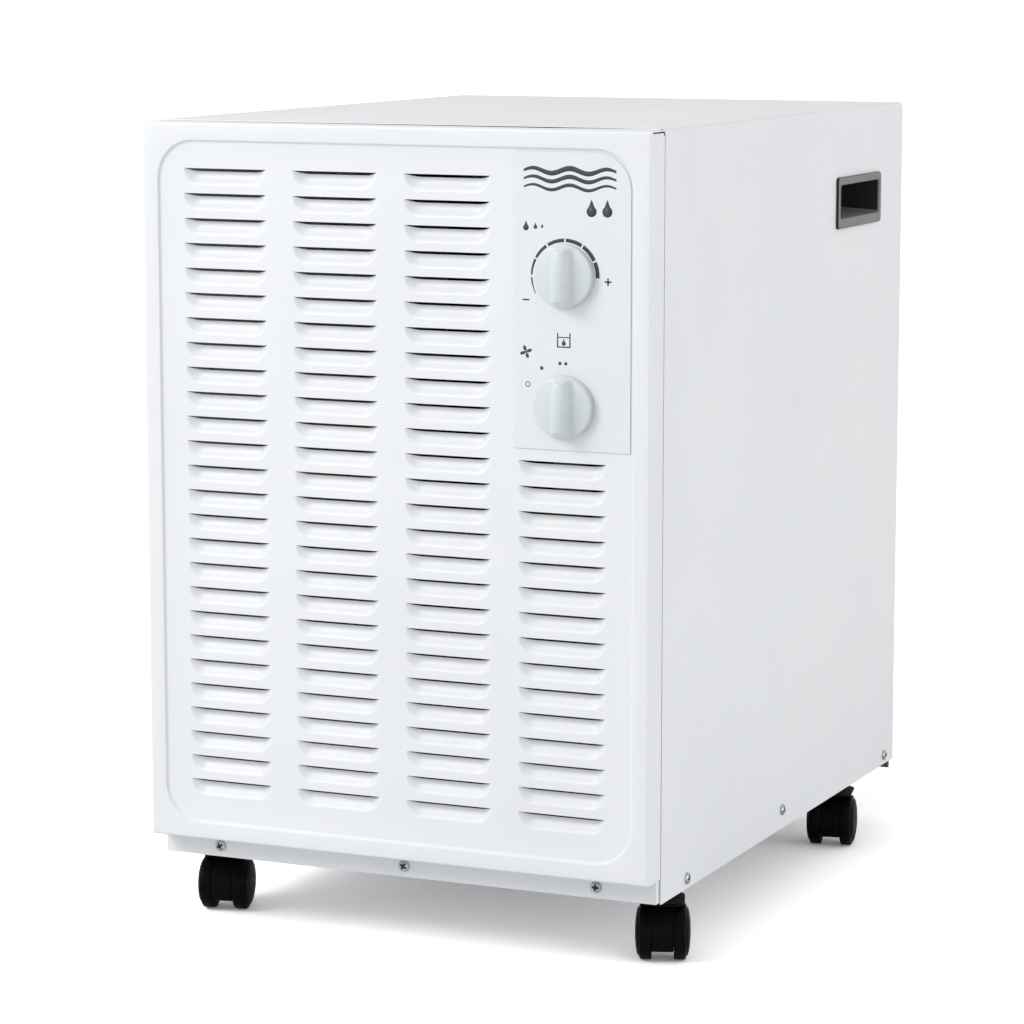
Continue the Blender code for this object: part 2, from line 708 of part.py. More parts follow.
def make_rear_panel(look):
    low = PAN_LOW + PAN_FLANGE + GAP
    bm = bmesh.new()
    add_box(bm, (-INNER_X, REAR_PANEL_Y - SHEET, low), (INNER_X, REAR_PANEL_Y, CASE_TOP - SHEET - GAP))
    panel = make("rear_panel", bm, look, smooth=False)
    half, mouth_low, mouth_high = tank_opening()
    bm = bmesh.new()
    add_box(bm, (-half, REAR_PANEL_Y - 0.01, low - 0.01), (half, REAR_PANEL_Y + 0.01, mouth_high))
    half, window_low, window_high = filter_window()
    add_box(bm, (-half, REAR_PANEL_Y - 0.01, window_low), (half, REAR_PANEL_Y + 0.01, window_high))
    x, z = gland_place()
    add_rod(bm, GLAND_RADIUS + GAP, -0.01, 0.01, along_y(x, REAR_PANEL_Y, z), 16)
    combine(panel, bm, "DIFFERENCE")


def gland_place():
    return CASE_WIDTH / 2 - REAR_BORDER - 0.014, filter_window()[1] + 0.012


def make_gland(look):
    """The mains lead's bush, grooved round the panel's edge."""
    x, z = gland_place()
    outer = GLAND_RADIUS + 0.0025
    proud = GLAND_PROUD
    profile = [
        (GLAND_BORE, proud),
        (GLAND_BORE, -GLAND_LENGTH),
        (GLAND_RADIUS, -GLAND_LENGTH),
        (GLAND_RADIUS, GAP),
        (outer, GAP),
        (outer, proud / 2),
        (GLAND_RADIUS - 0.001, proud),
    ]
    bm = bmesh.new()
    rear_facing = at(x, REAR_PANEL_Y, z) @ Matrix.Rotation(-math.pi / 2, 4, "X")
    add_turned(bm, profile, rear_facing, 20)
    make("mains_lead_gland", bm, look)


def make_filter(look):
    """A cassette that clips into the rear window: a frame with bars, and a foam mat behind them."""
    half, low, high = filter_window()
    face = REAR_PANEL_Y + FILTER_PROUD
    bm = bmesh.new()
    lip_low = (-half - FILTER_LIP, REAR_PANEL_Y + GAP, low - FILTER_LIP)
    add_box(bm, lip_low, (half + FILTER_LIP, face, high + FILTER_LIP))
    frame = make("filter_frame", bm, look["slate"], smooth=False)
    bm = bmesh.new()
    inside = REAR_PANEL_Y - FILTER_FRAME_DEPTH
    add_box(bm, (-half + GAP, inside, low + GAP), (half - GAP, face - 0.0005, high - GAP))
    combine(frame, bm, "UNION")
    bm = bmesh.new()
    rim = FILTER_RIM
    back = REAR_PANEL_Y - 0.002
    add_box(bm, (-half + rim, inside - 0.01, low + rim), (half - rim, back, high - rim))
    pitch = (high - low - 2 * rim + FILTER_BAR) / FILTER_BARS
    for row in range(FILTER_BARS):
        z = low + rim + row * pitch
        for side in (-1, 1):
            x0, x1 = sorted((side * FILTER_BAR / 2, side * (half - rim)))
            add_box(bm, (x0, back - 0.002, z), (x1, face + 0.01, z + pitch - FILTER_BAR))
    combine(frame, bm, "DIFFERENCE")
    mat_face = back - GAP
    low_mat = (-half + rim + GAP, mat_face - FILTER_MAT, low + rim + GAP)
    box_piece("filter_mat", low_mat, (half - rim - GAP, mat_face, high - rim - GAP), look["foam"])


# ---- water tank ----


def make_tank(look):
    """An open bucket with its own rear plate, whose lower edge hangs below the cover."""
    half = TANK_WIDTH / 2
    bm = bmesh.new()
    add_box(bm, (-half, TANK_FRONT_Y, TANK_LOW), (half, TANK_REAR_Y + 0.001, TANK_TOP))
    tank = make("water_tank", bm, look["slate"], smooth=False)
    bm = bmesh.new()
    wide = CASE_WIDTH / 2 - TANK_PLATE_MARGIN
    plate_low = CASE_LOW - TANK_PLATE_HANG
    add_box(bm, (-wide, TANK_REAR_Y, plate_low), (wide, TANK_REAR_Y + TANK_PLATE, TANK_PLATE_TOP))
    combine(tank, bm, "UNION")
    bm = bmesh.new()
    low = (-half + TANK_WALL, TANK_FRONT_Y + TANK_WALL, TANK_LOW + TANK_WALL)
    grip_w, grip_h = TANK_GRIP
    cup = TANK_REAR_Y + TANK_PLATE - TANK_GRIP_DEPTH
    add_box(bm, low, (half - TANK_WALL, cup - TANK_WALL, TANK_TOP + 0.01))
    combine(tank, bm, "DIFFERENCE")
    bm = bmesh.new()
    z = TANK_TOP - grip_h / 2 - TANK_GRIP_DROP
    add_box(bm, (-grip_w / 2, cup, z - grip_h / 2), (grip_w / 2, TANK_REAR_Y + 0.01, z + grip_h / 2))
    combine(tank, bm, "DIFFERENCE")
    for side in (-1, 1):
        add_float_ear(tank, side)
    y, z = float_pin()
    bm = bmesh.new()
    add_rod(bm, FLOAT_PIN_RADIUS, -FLOAT_EAR_INNER - 0.001, FLOAT_EAR_INNER + 0.001, along_x(0, y, z), 12)
    combine(tank, bm, "UNION")
    make_float(look)


def add_float_ear(tank, side):
    """One of the two ears, moulded on the tank's front wall, that hold the float's pin."""
    y, z = float_pin()
    inner, outer = FLOAT_EAR_INNER, FLOAT_EAR_INNER + 0.0035
    wall = TANK_FRONT_Y + TANK_WALL - 0.0005
    bm = bmesh.new()
    add_box(bm, *mirrored(side, (inner, wall, z - 0.006), (outer, y + 0.006, z + 0.006)))
    combine(tank, bm, "UNION")


def float_pin():
    return TANK_FRONT_Y + TANK_WALL + 0.012, TANK_TOP - 0.016


def make_float(look):
    """A float on an arm, hinged between two ears at the tank's front wall."""
    y, z = float_pin()
    width, length, height = FLOAT_SIZE
    bm = bmesh.new()
    arm_end = y + FLOAT_ARM
    add_box(bm, (-width / 2, arm_end - 0.002, z - 0.012 - height), (width / 2, arm_end + length, z - 0.012))
    lever = make("tank_float", bm, look["knob"], (0, y, z), smooth=False)
    bm = bmesh.new()
    add_box(bm, (-0.006, y - 0.004, z - 0.016), (0.006, arm_end + 0.010, z - 0.011))
    combine(lever, bm, "UNION")
    bm = bmesh.new()
    add_box(bm, (-0.006, y - 0.004, z - 0.0135), (0.006, y + 0.004, z + 0.004))
    combine(lever, bm, "UNION")
    bm = bmesh.new()
    add_rod(bm, FLOAT_PIN_RADIUS + GAP, -0.02, 0.02, along_x(0, y, z), 12)
    combine(lever, bm, "DIFFERENCE")


def make_rails(look):
    """Two channels on the pan that the tank slides on, each with a lip beside the tank."""
    outer = TANK_WIDTH / 2 + RAIL_CLEARANCE + RAIL_LIP
    front, rear = TANK_FRONT_Y - RAIL_END, INNER_REAR_Y - RAIL_END
    base, top = PAN_FLOOR + GAP, TANK_LOW - GAP
    for name, side in (("tank_rail_left", -1), ("tank_rail_right", 1)):
        bm = bmesh.new()
        add_box(bm, *mirrored(side, (outer - RAIL_WIDTH, front, base), (outer, rear, top)))
        rail = make(name, bm, look, smooth=False)
        bm = bmesh.new()
        low, high = (outer - RAIL_LIP, front, top - 0.002), (outer, rear, top + RAIL_LIP_HEIGHT)
        add_box(bm, *mirrored(side, low, high))
        combine(rail, bm, "UNION")


# ---- cold circuit ----


def make_deck(look):
    """A folded shelf over the tank bay that carries the coils, the fan and the drip tray."""
    bm = bmesh.new()
    width = INNER_X - 0.0010
    rear = INNER_REAR_Y - 0.001
    low = DECK_HEIGHT - DECK_FOLD
    add_box(bm, (-width, DECK_FRONT_Y, low), (width, rear, DECK_TOP))
    deck = make("coil_deck", bm, look, smooth=False)
    bm = bmesh.new()
    inner_low = (-width + PAN_SHEET, DECK_FRONT_Y + PAN_SHEET, low - 0.01)
    add_box(bm, inner_low, (width - PAN_SHEET, rear + 0.01, DECK_HEIGHT))
    x, y = spout_place()
    add_rod(bm, SPOUT_RADIUS + SPOUT_CLEARANCE, -0.05, 0.05, at(x, y, DECK_HEIGHT), 16)
    for start_x in pipe_starts():
        add_rod(bm, 2 * PIPE, -0.05, 0.05, at(start_x, COMPRESSOR_Y, DECK_HEIGHT), 16)
    combine(deck, bm, "DIFFERENCE")


def spout_place():
    return 0.0, EVAPORATOR_Y


def pipe_ends():
    """X and Y where the hot pipe rises beside the condenser, and the cold one beside the evaporator."""
    return (-COIL_WIDTH / 2 - 0.018, CONDENSER_Y), (COIL_WIDTH / 2 + 0.018, EVAPORATOR_Y)


def pipe_starts():
    """X of each pipe where it rises from the compressor: the hot one, then the cold one."""
    return COMPRESSOR_X - PIPE_SPREAD, COMPRESSOR_X + PIPE_SPREAD


def make_splash_wall(look):
    """The upright between the compressor and the tank bay."""
    half = INNER_X - PAN_SHEET - 0.002
    low, high = PAN_FLOOR + GAP, DECK_HEIGHT - GAP
    box_piece("splash_wall", (-half, SPLASH_Y - PAN_SHEET, low), (half, SPLASH_Y, high), look)


def fin_outline(width):
    """A strip of fins seen from above: one thin wall folded back and forth."""
    pitch = width / COIL_FOLDS
    lean = FIN / 2 * math.hypot(COIL_DEPTH, pitch) / pitch
    half = COIL_DEPTH / 2 - lean
    folds = [(-width / 2 + i * pitch, half if i % 2 else -half) for i in range(COIL_FOLDS + 1)]
    front = [(x, y - lean) for x, y in folds]
    rear = [(x, y + lean) for x, y in folds]
    return front + rear[::-1]


def make_coil(kind, y, look):
    """A fin pack with two end plates, and the serpentine tube that lies against it."""
    bm = bmesh.new()
    add_prism(bm, fin_outline(COIL_WIDTH), COIL_LOW, COIL_LOW + COIL_HEIGHT, at(0, y, 0))
    fins = make(f"{kind}_fins", bm, look["aluminium"], smooth=False)
    bm = bmesh.new()
    for side in (-1, 1):
        reach_y, edge = COIL_DEPTH / 2 + 0.001, COIL_WIDTH / 2
        low = (edge - 0.002, y - reach_y, COIL_LOW - 0.002)
        high = (edge + 0.002, y + reach_y, COIL_LOW + COIL_HEIGHT + 0.002)
        add_box(bm, *mirrored(side, low, high))
    combine(fins, bm, "UNION")
    tube_y = y + COIL_DEPTH / 2 + 0.001 + COIL_TUBE + GAP
    pipe(f"{kind}_tube", serpentine(tube_y), COIL_TUBE, look["copper"])


def serpentine(y):
    """Level runs joined by half turns, from the lowest run to the highest."""
    pitch = (COIL_HEIGHT - 2 * COIL_TUBE - 0.006) / (COIL_PASSES - 1)
    bottom = COIL_LOW + COIL_TUBE + 0.003
    reach = COIL_WIDTH / 2 - pitch / 2 - COIL_TUBE
    points = []
    for run in range(COIL_PASSES):
        side = 1 if run % 2 else -1
        z = bottom + run * pitch
        points.append(Vector((side * reach, y, z)))
        points.append(Vector((-side * reach, y, z)))
        if run == COIL_PASSES - 1:
            continue
        for i in range(1, TURN_STEPS):
            angle = math.pi * i / TURN_STEPS
            x = -side * (reach + pitch / 2 * math.sin(angle))
            points.append(Vector((x, y, z + pitch / 2 * (1 - math.cos(angle)))))
    return points


def pipe(name, points, radius, look, resolution=2):
    curve = bpy.data.curves.new(name, "CURVE")
    curve.dimensions = "3D"
    curve.bevel_depth = radius
    curve.bevel_resolution = resolution
    curve.use_fill_caps = True
    spline = curve.splines.new("POLY")
    spline.points.add(len(points) - 1)
    for point, spot in zip(spline.points, points):
        point.co = (*spot, 1.0)
    curve.materials.append(look)
    obj = bpy.data.objects.new(name, curve)
    bpy.context.scene.collection.objects.link(obj)
    return obj


def bent(corners, radius, steps=5):
    """The route through the corners with each one rounded off."""
    corners = [Vector(c) for c in corners]
    points = [corners[0]]
    for before, corner, after in zip(corners, corners[1:], corners[2:]):
        enter = corner + (before - corner).normalized() * radius
        leave = corner + (after - corner).normalized() * radius
        for i in range(steps + 1):
            t = i / steps
            points.append(enter * (1 - t) ** 2 + corner * 2 * t * (1 - t) + leave * t**2)
    points.append(corners[-1])
    return points


def make_pipes(look):
    """The hot line from the compressor to the condenser, and the cold one back from the evaporator."""
    dome = PAN_FLOOR + FOOT_HEIGHT + 0.006 + COMPRESSOR_HEIGHT
    level = DECK_TOP + PIPE_OVER_DECK
    end_z = COIL_LOW + COIL_HEIGHT / 2
    for name, start_x, (x, y) in zip(("discharge_pipe", "suction_pipe"), pipe_starts(), pipe_ends()):
        route = [
            (start_x, COMPRESSOR_Y, dome + PIPE),
            (start_x, COMPRESSOR_Y, level),
            (x, COMPRESSOR_Y, level),
            (x, y, level),
            (x, y, end_z),
        ]
        pipe(name, bent(route, PIPE_BEND), PIPE, look)


def make_compressor(look):
    """A thick-walled steel can welded to its foot plate, open underneath, on three rubber feet."""
    base = PAN_FLOOR + FOOT_HEIGHT + 0.0005
    plate = 0.003
    r, h, wall = COMPRESSOR_RADIUS, COMPRESSOR_HEIGHT, COMPRESSOR_WALL
    low = base + plate / 2
    profile = [
        (r * 0.55, low),
        (r, low),
        (r, low + h * 0.75),
        (r * 0.86, low + h * 0.92),
        (r * 0.45, low + h),
        (0, low + h),
        (0, low + h - wall),
        (r * 0.42, low + h - wall),
        (r * 0.82, low + h * 0.90),
        (r - wall, low + h * 0.74),
        (r - wall, low + wall),
        (r * 0.55, low + wall),
    ]
    place = at(COMPRESSOR_X, COMPRESSOR_Y, 0)
    bm = bmesh.new()
    add_turned(bm, profile, place)
    can = make("compressor", bm, look["motor"])
    bm = bmesh.new()
    add_prism(bm, rounded_rectangle(2.9 * r, 2.3 * r, 0.02, 4), base, base + plate, place)
    combine(can, bm, "UNION")
    bm = bmesh.new()
    add_rod(bm, r * 0.5, base - 0.01, base + 0.01, place)
    for x, y in foot_places():
        add_rod(bm, FOOT_RADIUS * 0.55, base - 0.01, base + 0.01, at(x, y, 0), 12)
    combine(can, bm, "DIFFERENCE")
    for i, (x, y) in enumerate(foot_places(), 1):
        bm = bmesh.new()
        neck = FOOT_RADIUS * 0.55 - GAP
        profile = [(0, PAN_FLOOR + GAP), (FOOT_RADIUS, PAN_FLOOR + GAP), (FOOT_RADIUS, base - GAP)]
        profile += [(neck, base - GAP), (neck, base + plate + 0.002), (0, base + plate + 0.002)]
        add_turned(bm, profile, at(x, y, 0), 16)
        make(f"compressor_foot_{i}", bm, look["rubber"])


def foot_places():
    r = COMPRESSOR_RADIUS
    reach_x, reach_y = 1.24 * r, 0.92 * r
    return (
        (COMPRESSOR_X - reach_x, COMPRESSOR_Y - reach_y),
        (COMPRESSOR_X + reach_x, COMPRESSOR_Y - reach_y),
        (COMPRESSOR_X, COMPRESSOR_Y + reach_y + 0.004),
    )


def make_fan(look):
    """Shroud, impeller on its shaft, motor and the strap that carries it."""
    half = COIL_WIDTH / 2 + 0.004
    low, high = DECK_TOP + GAP, COIL_LOW + COIL_HEIGHT + 0.004
    bm = bmesh.new()
    add_box(bm, (-half, SHROUD_Y, low), (half, SHROUD_Y + PAN_SHEET, high))
    shroud = make("fan_shroud", bm, look["galvanised"])
    bm = bmesh.new()
    place = along_y(0, SHROUD_Y, FAN_HEIGHT)
    add_ring(bm, SHROUD_HOLE - 0.004, SHROUD_HOLE + PAN_SHEET, -0.0012, SHROUD_COLLAR, place, 32)
    combine(shroud, bm, "UNION")
    bm = bmesh.new()
    add_rod(bm, SHROUD_HOLE, -0.01, SHROUD_COLLAR + 0.01, place, 32)
    combine(shroud, bm, "DIFFERENCE")
    make_impeller(look)
    motor_front = FAN_Y - FAN_HUB_DEPTH - 0.006
    place = along_y(0, motor_front, FAN_HEIGHT)
    bore = SHAFT_RADIUS + 0.001
    r, h = MOTOR_RADIUS, MOTOR_LENGTH
    profile = [(bore, 0), (r * 0.8, 0), (r, h * 0.12), (r, h * 0.88), (r * 0.8, h), (0, h)]
    profile += [(0, h * 0.9), (bore, h * 0.9)]
    bm = bmesh.new()
    add_turned(bm, profile, place)
    make("fan_motor", bm, look["motor"])
    make_motor_strap(motor_front - h / 2, look["galvanised"])


def make_motor_strap(y, look):
    """An upright hoop round the motor with a foot on the deck."""
    inner = MOTOR_RADIUS + GAP
    width = 0.022
    place = along_y(0, y, FAN_HEIGHT)
    bm = bmesh.new()
    add_ring(bm, inner, inner + 0.002, -width / 2, width / 2, place)
    strap = make("motor_strap", bm, look)
    bm = bmesh.new()
    low = DECK_TOP + GAP
    half = width / 2 - 0.002
    add_box(bm, (-0.012, y - half, low), (0.012, y + half, FAN_HEIGHT - inner - 0.001))
    combine(strap, bm, "UNION")
    bm = bmesh.new()
    add_box(bm, (-0.035, y - width / 2, low), (0.035, y + width / 2, low + 0.002))
    combine(strap, bm, "UNION")


def make_impeller(look):
    place = along_y(0, FAN_Y, FAN_HEIGHT)
    h = FAN_HUB_DEPTH
    bm = bmesh.new()
    bore = SHAFT_RADIUS + GAP
    profile = [(bore, 0), (FAN_HUB * 0.9, 0), (FAN_HUB, h * 0.2), (FAN_HUB, h), (bore, h)]
    add_turned(bm, profile, place)
    fan = make("fan_impeller", bm, look["black"], (0, FAN_Y, FAN_HEIGHT))
    bm = bmesh.new()
    for i in range(FAN_BLADES):
        add_blade(bm, place @ Matrix.Rotation(2 * math.pi * i / FAN_BLADES, 4, "Z"))
    combine(fan, bm, "UNION")
    bm = bmesh.new()
    add_rod(bm, SHAFT_RADIUS, 0.002, h + 0.006 + MOTOR_LENGTH * 0.6, place, 16)
    make("fan_shaft", bm, look["zinc"], (0, FAN_Y, FAN_HEIGHT))


def add_blade(bm, place):
    """One blade: a thin plate that widens outwards and is set at the fan's pitch."""
    root, tip = FAN_HUB * 0.86, FAN_RADIUS
    stations = 4
    thick = 0.0022
    rings = []
    for i in range(stations):
        t = i / (stations - 1)
        radius = root + (tip - root) * t
        chord = 0.020 + 0.034 * t
        pitch = FAN_PITCH * (1.25 - 0.45 * t)
        sweep = -0.10 + 0.34 * t
        turn = Matrix.Rotation(sweep, 4, "Z") @ Matrix.Translation((radius, 0, FAN_HUB_DEPTH / 2))
        turn = place @ turn @ Matrix.Rotation(pitch, 4, "X")
        a, b = chord / 2, thick / 2
        corners = [(-a, -b), (a, -b), (a, b), (-a, b)]
        rings.append([bm.verts.new(turn @ Vector((0, y, z))) for y, z in corners])
    bm.faces.new(rings[0])
    bm.faces.new(rings[-1][::-1])
    for a, b in zip(rings, rings[1:]):
        for k in range(4):
            m = (k + 1) % 4
            bm.faces.new((a[k], b[k], b[m], a[m]))


def make_drip_tray(look):
    """A shallow tray under the evaporator whose spout leads through the deck to the tank."""
    half = COIL_WIDTH / 2 + 0.006
    front = CONDENSER_Y + COIL_DEPTH / 2 + 0.006
    rear = EVAPORATOR_Y + COIL_DEPTH / 2 + 0.014
    low, high = DECK_TOP + GAP, COIL_LOW - TRAY_UNDER_COIL
    bm = bmesh.new()
    add_box(bm, (-half, front, low), (half, rear, high))
    tray = make("drip_tray", bm, look, smooth=False)
    x, y = spout_place()
    bm = bmesh.new()
    add_rod(bm, SPOUT_RADIUS, TANK_TOP + SPOUT_OVER_TANK, low + 0.001, at(x, y, 0), 16)
    combine(tray, bm, "UNION")
    bm = bmesh.new()
    wall = TRAY_WALL
    add_box(bm, (-half + wall, front + wall, low + wall), (half - wall, rear - wall, high + 0.01))
    add_rod(bm, SPOUT_RADIUS - TRAY_WALL, TANK_TOP, low + 0.01, at(x, y, 0), 16)
    combine(tray, bm, "DIFFERENCE")


def make_electrics(look):
    """The run capacitor, and the switch that the full tank trips."""
    bm = bmesh.new()
    base = PAN_FLOOR + GAP
    r, top = CAPACITOR_RADIUS, base + CAPACITOR_HEIGHT
    profile = [(0, base), (r, base), (r, top - 0.004), (r - 0.003, top), (0, top)]
    add_turned(bm, profile, at(CAPACITOR_FROM_SIDE - CASE_WIDTH / 2, FACE_Y + CAPACITOR_FROM_FACE, 0))
    make("run_capacitor", bm, look["aluminium"])
    x = TANK_WIDTH / 2 + 0.014
    low = (x, TANK_FRONT_Y + 0.006, TANK_TOP - 0.030)
    box_piece("tank_switch", low, (x + 0.011, TANK_FRONT_Y + 0.034, TANK_TOP - 0.014), look["black"])


# ---- fasteners ----


def screw_bmesh(place):
    head, height = SCREW_HEAD, SCREW_HEAD_HEIGHT
    profile = [
        (0, -SCREW_LENGTH),
        (SCREW_SHANK, -SCREW_LENGTH),
        (SCREW_SHANK, GAP),
        (head, GAP),
        (head * 0.96, height * 0.5),
        (head * 0.7, height),
        (0, height),
    ]
    bm = bmesh.new()
    add_turned(bm, profile, place, 12)
    return bm


def make_screws(look):
    for i, x in enumerate(front_screw_places(), 1):
        place = along_y(x, PAN_FRONT_Y, front_screw_height())
        make(f"pan_screw_{i}", screw_bmesh(place), look)


# ---- casters ----


def caster_places():
    """Name, place of the swivel's axis and how far the caster is turned, for each corner."""
    side = CASE_WIDTH / 2 - CASTER_INSET_SIDE
    front = FACE_Y + CASTER_INSET_FRONT
    rear = REAR_Y - CASTER_INSET_REAR
    return (
        ("front_left", -side, front, math.radians(13.5)),
        ("front_right", side, front, math.radians(21)),
        ("rear_left", -side, rear, math.radians(-21)),
        ("rear_right", side, rear, math.radians(12)),
    )


def hood_outline():
    """Side of the web between the wheels, with the swivel's axis at zero and the axle in front."""
    axle_x, axle_z = -CASTER_TRAIL, WHEEL_RADIUS
    radius = WHEEL_RADIUS - 0.0004
    top = HOOD_TOP - HOOD_CAP
    start = math.asin((top - 0.002 - axle_z) / (radius + 0.002))
    end = math.asin((HOOD_LOW - axle_z) / radius)
    points = [(axle_x - 0.006, top + 0.0005)]
    for i in range(HOOD_STEPS + 1):
        angle = start + (end - start) * i / HOOD_STEPS
        points.append((axle_x - radius * math.cos(angle), axle_z + radius * math.sin(angle)))
    points += [(axle_x + 0.010, HOOD_LOW), (0.009, HOOD_LOW + 0.010), (0.010, top + 0.0005)]
    return points


def make_caster(name, x, y, turn, look):
    """A twin-wheel caster: the fixed plate and stem, and what swivels on them."""
    marker = empty(f"caster_{name}_swivel", (x, y, 0), turn)
    make_caster_plate(name, x, y, look["black"])
    make_hood(name, marker, look["black"])
    axle = (0, -CASTER_TRAIL, WHEEL_RADIUS)
    for which, side in (("a", -1), ("b", 1)):
        bm = bmesh.new()
        add_turned(bm, wheel_profile(side), axle_line(), WHEEL_SIDES)
        make(f"caster_{name}_wheel_{which}", bm, look["black"], axle, marker)


def make_caster_plate(name, x, y, look):
    """The plate screwed under the pan, with the swivel's collar and stem."""
    top = PAN_LOW - GAP
    half = CASTER_PLATE / 2
    bm = bmesh.new()
    add_box(bm, (x - half, y - half, top - 0.0020), (x + half, y + half, top))
    plate = make(f"caster_{name}_plate", bm, look, smooth=False)
    for radius, low in ((STEM_RADIUS, HOOD_TOP - STEM_IN_HOOD), (STEM_RADIUS + 0.0045, HOOD_TOP + 0.0030)):
        bm = bmesh.new()
        add_rod(bm, radius, low, top - 0.001, at(x, y, 0), 16)
        combine(plate, bm, "UNION")


def axle_line():
    return along_x(0, -CASTER_TRAIL, WHEEL_RADIUS)


def make_hood(name, marker, look):
    """Web, cap over the wheels, boss round the stem and the axle's two ends, in one moulding."""
    web = WHEEL_GAP / 2 - 0.0004
    bm = bmesh.new()
    turn = Matrix(((0, 0, 1, 0), (1, 0, 0, 0), (0, 1, 0, 0), (0, 0, 0, 1)))
    add_prism(bm, hood_outline(), -web, web, turn)
    hood = make(f"caster_{name}_hood", bm, look, parent=marker)
    half = HOOD_CAP_WIDTH / 2
    low = HOOD_TOP - HOOD_CAP
    cap = rounded_rectangle(HOOD_CAP_WIDTH, 0.036, 0.006, 3)
    bm = bmesh.new()
    add_prism(bm, cap, low, HOOD_TOP, at(0, -half * 0.45, 0))
    combine(hood, bm, "UNION", marker)
    bm = bmesh.new()
    add_rod(bm, STEM_RADIUS + 0.0040, HOOD_TOP - 0.001, HOOD_TOP + 0.0025, sides=16)
    combine(hood, bm, "UNION", marker)
    bm = bmesh.new()
    reach = WHEEL_GAP / 2 + WHEEL_WIDTH * 0.6
    add_rod(bm, AXLE_RADIUS, -reach, reach, axle_line(), 12)
    combine(hood, bm, "UNION", marker)
    bm = bmesh.new()
    add_rod(bm, STEM_RADIUS + GAP, HOOD_TOP - STEM_IN_HOOD - GAP, HOOD_TOP + 0.01, sides=16)
    combine(hood, bm, "DIFFERENCE", marker)


def wheel_profile(side):
    """A wheel with a flat tread and a domed outer side, blind on the axle."""
    inner = WHEEL_GAP / 2
    # A flat of the wheel's polygon meets the floor.
    r = WHEEL_RADIUS / math.cos(math.pi / WHEEL_SIDES)
    bore = AXLE_RADIUS + GAP
    blind = WHEEL_WIDTH * 0.65
    steps = (
        (bore, 0),
        (r - 0.001, 0),
        (r, 0.001),
        (r, WHEEL_TREAD),
        (r * 0.90, WHEEL_TREAD + 0.0016),
        (r * 0.66, WHEEL_WIDTH - 0.0009),
        (r * 0.30, WHEEL_WIDTH),
        (0, WHEEL_WIDTH),
        (0, blind),
        (bore, blind),
    )
    return [(radius, side * (inner + height)) for radius, height in steps]


def main():
    clear_scene()
    look = looks()
    make_cover(look["white"])
    make_base_pan(look["white"])
    make_front_panel(look["white"])
    make_rear_panel(look["white"])
    make_handles(look["grey"])
    make_label(look["label"])
    humidistat, selector = dial_heights()
    make_dial("humidistat", humidistat, look)
    make_dial("selector", selector, look)
    make_control_bracket(look["galvanised"])
    make_gland(look["rubber"])
    make_filter(look)
    make_tank(look)
    make_rails(look["slate"])
    make_deck(look["galvanised"])
    make_splash_wall(look["galvanised"])
    make_coil("evaporator", EVAPORATOR_Y, look)
    make_coil("condenser", CONDENSER_Y, look)
    make_pipes(look["copper"])
    make_compressor(look)
    make_fan(look)
    make_drip_tray(look["slate"])
    make_electrics(look)
    make_screws(look["zinc"])
    for place in caster_places():
        make_caster(*place, look)


main()
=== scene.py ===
"""A white sheet-metal dehumidifier on twin-wheel casters: its visible shapes and materials."""

import json
import math

import bmesh
import bpy
from mathutils import Matrix, Vector
from mathutils.geometry import delaunay_2d_cdt


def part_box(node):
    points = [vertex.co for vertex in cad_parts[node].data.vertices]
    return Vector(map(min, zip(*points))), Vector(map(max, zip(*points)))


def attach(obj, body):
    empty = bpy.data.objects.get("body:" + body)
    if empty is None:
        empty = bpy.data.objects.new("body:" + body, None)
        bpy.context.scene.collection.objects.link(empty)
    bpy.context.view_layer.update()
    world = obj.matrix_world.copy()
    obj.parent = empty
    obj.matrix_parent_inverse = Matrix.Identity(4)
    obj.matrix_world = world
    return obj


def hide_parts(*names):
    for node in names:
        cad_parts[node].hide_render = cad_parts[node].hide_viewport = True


MM = 0.001

# Front panel, in metres unless a name says otherwise
SAME_PLACE = 0.0001
FIELD_SIDE = 0.0130
FIELD_END = 0.0128
FIELD_SINK = 0.0018
FIELD_CORNER = 0.0270
# millimetres out from the field's edge, and how much of the sink is left there
FIELD_STEP = ((-1.2, 1.0), (-0.8, 0.96), (-0.4, 0.82), (0.0, 0.5), (0.4, 0.18), (0.8, 0.04), (1.2, 0.0))
PANEL_BEND = 0.0020
BEND_STEPS = 6
PANEL_CORNER = 0.0008
CORNER_STEPS = 8
SLIT = 0.0010
RELIEF_NOTCH = 0.0030
SIDE_SEAM = 0.0005
TOP_TUCK = 0.00015
SHEET = 0.0010
LOUVRE_COLUMNS = 4
LOUVRE_GAP = 0.0202
LOUVRE_MARGIN = 0.0194
LOUVRE_PITCH = 0.01765
LOUVRE_DROP = 0.0194
LOUVRE_FOOT = 0.0300
LOUVRE_UNDER_LABEL = 0.0050
LOUVRE_RADIUS = 0.0117
LOUVRE_DEPTH = 0.0050
LOUVRE_LIP_DROP = 0.0023
LOUVRE_ROWS = 8
LOUVRE_MIDDLE = 5
LOUVRE_RING = 0.0006
SHAFT_HOLE = 0.0036
SHAFT_HOLE_STEPS = 24

# Handles, in metres but for the corner radii, which are in millimetres
HANDLE_FLANGE = (0.1020, 0.0394)
HANDLE_MOUTH = (0.0932, 0.0254)
HANDLE_MOUTH_RISE = 0.0009
HANDLE_PROUD = 0.0024
HANDLE_DEPTH = 0.0335
HANDLE_WALL = 0.0012
HANDLE_FLANGE_CORNER = 3.2
HANDLE_MOUTH_CORNER = 3.0
HANDLE_FLOOR_CORNER = 4.2
HANDLE_EDGE = 0.0015

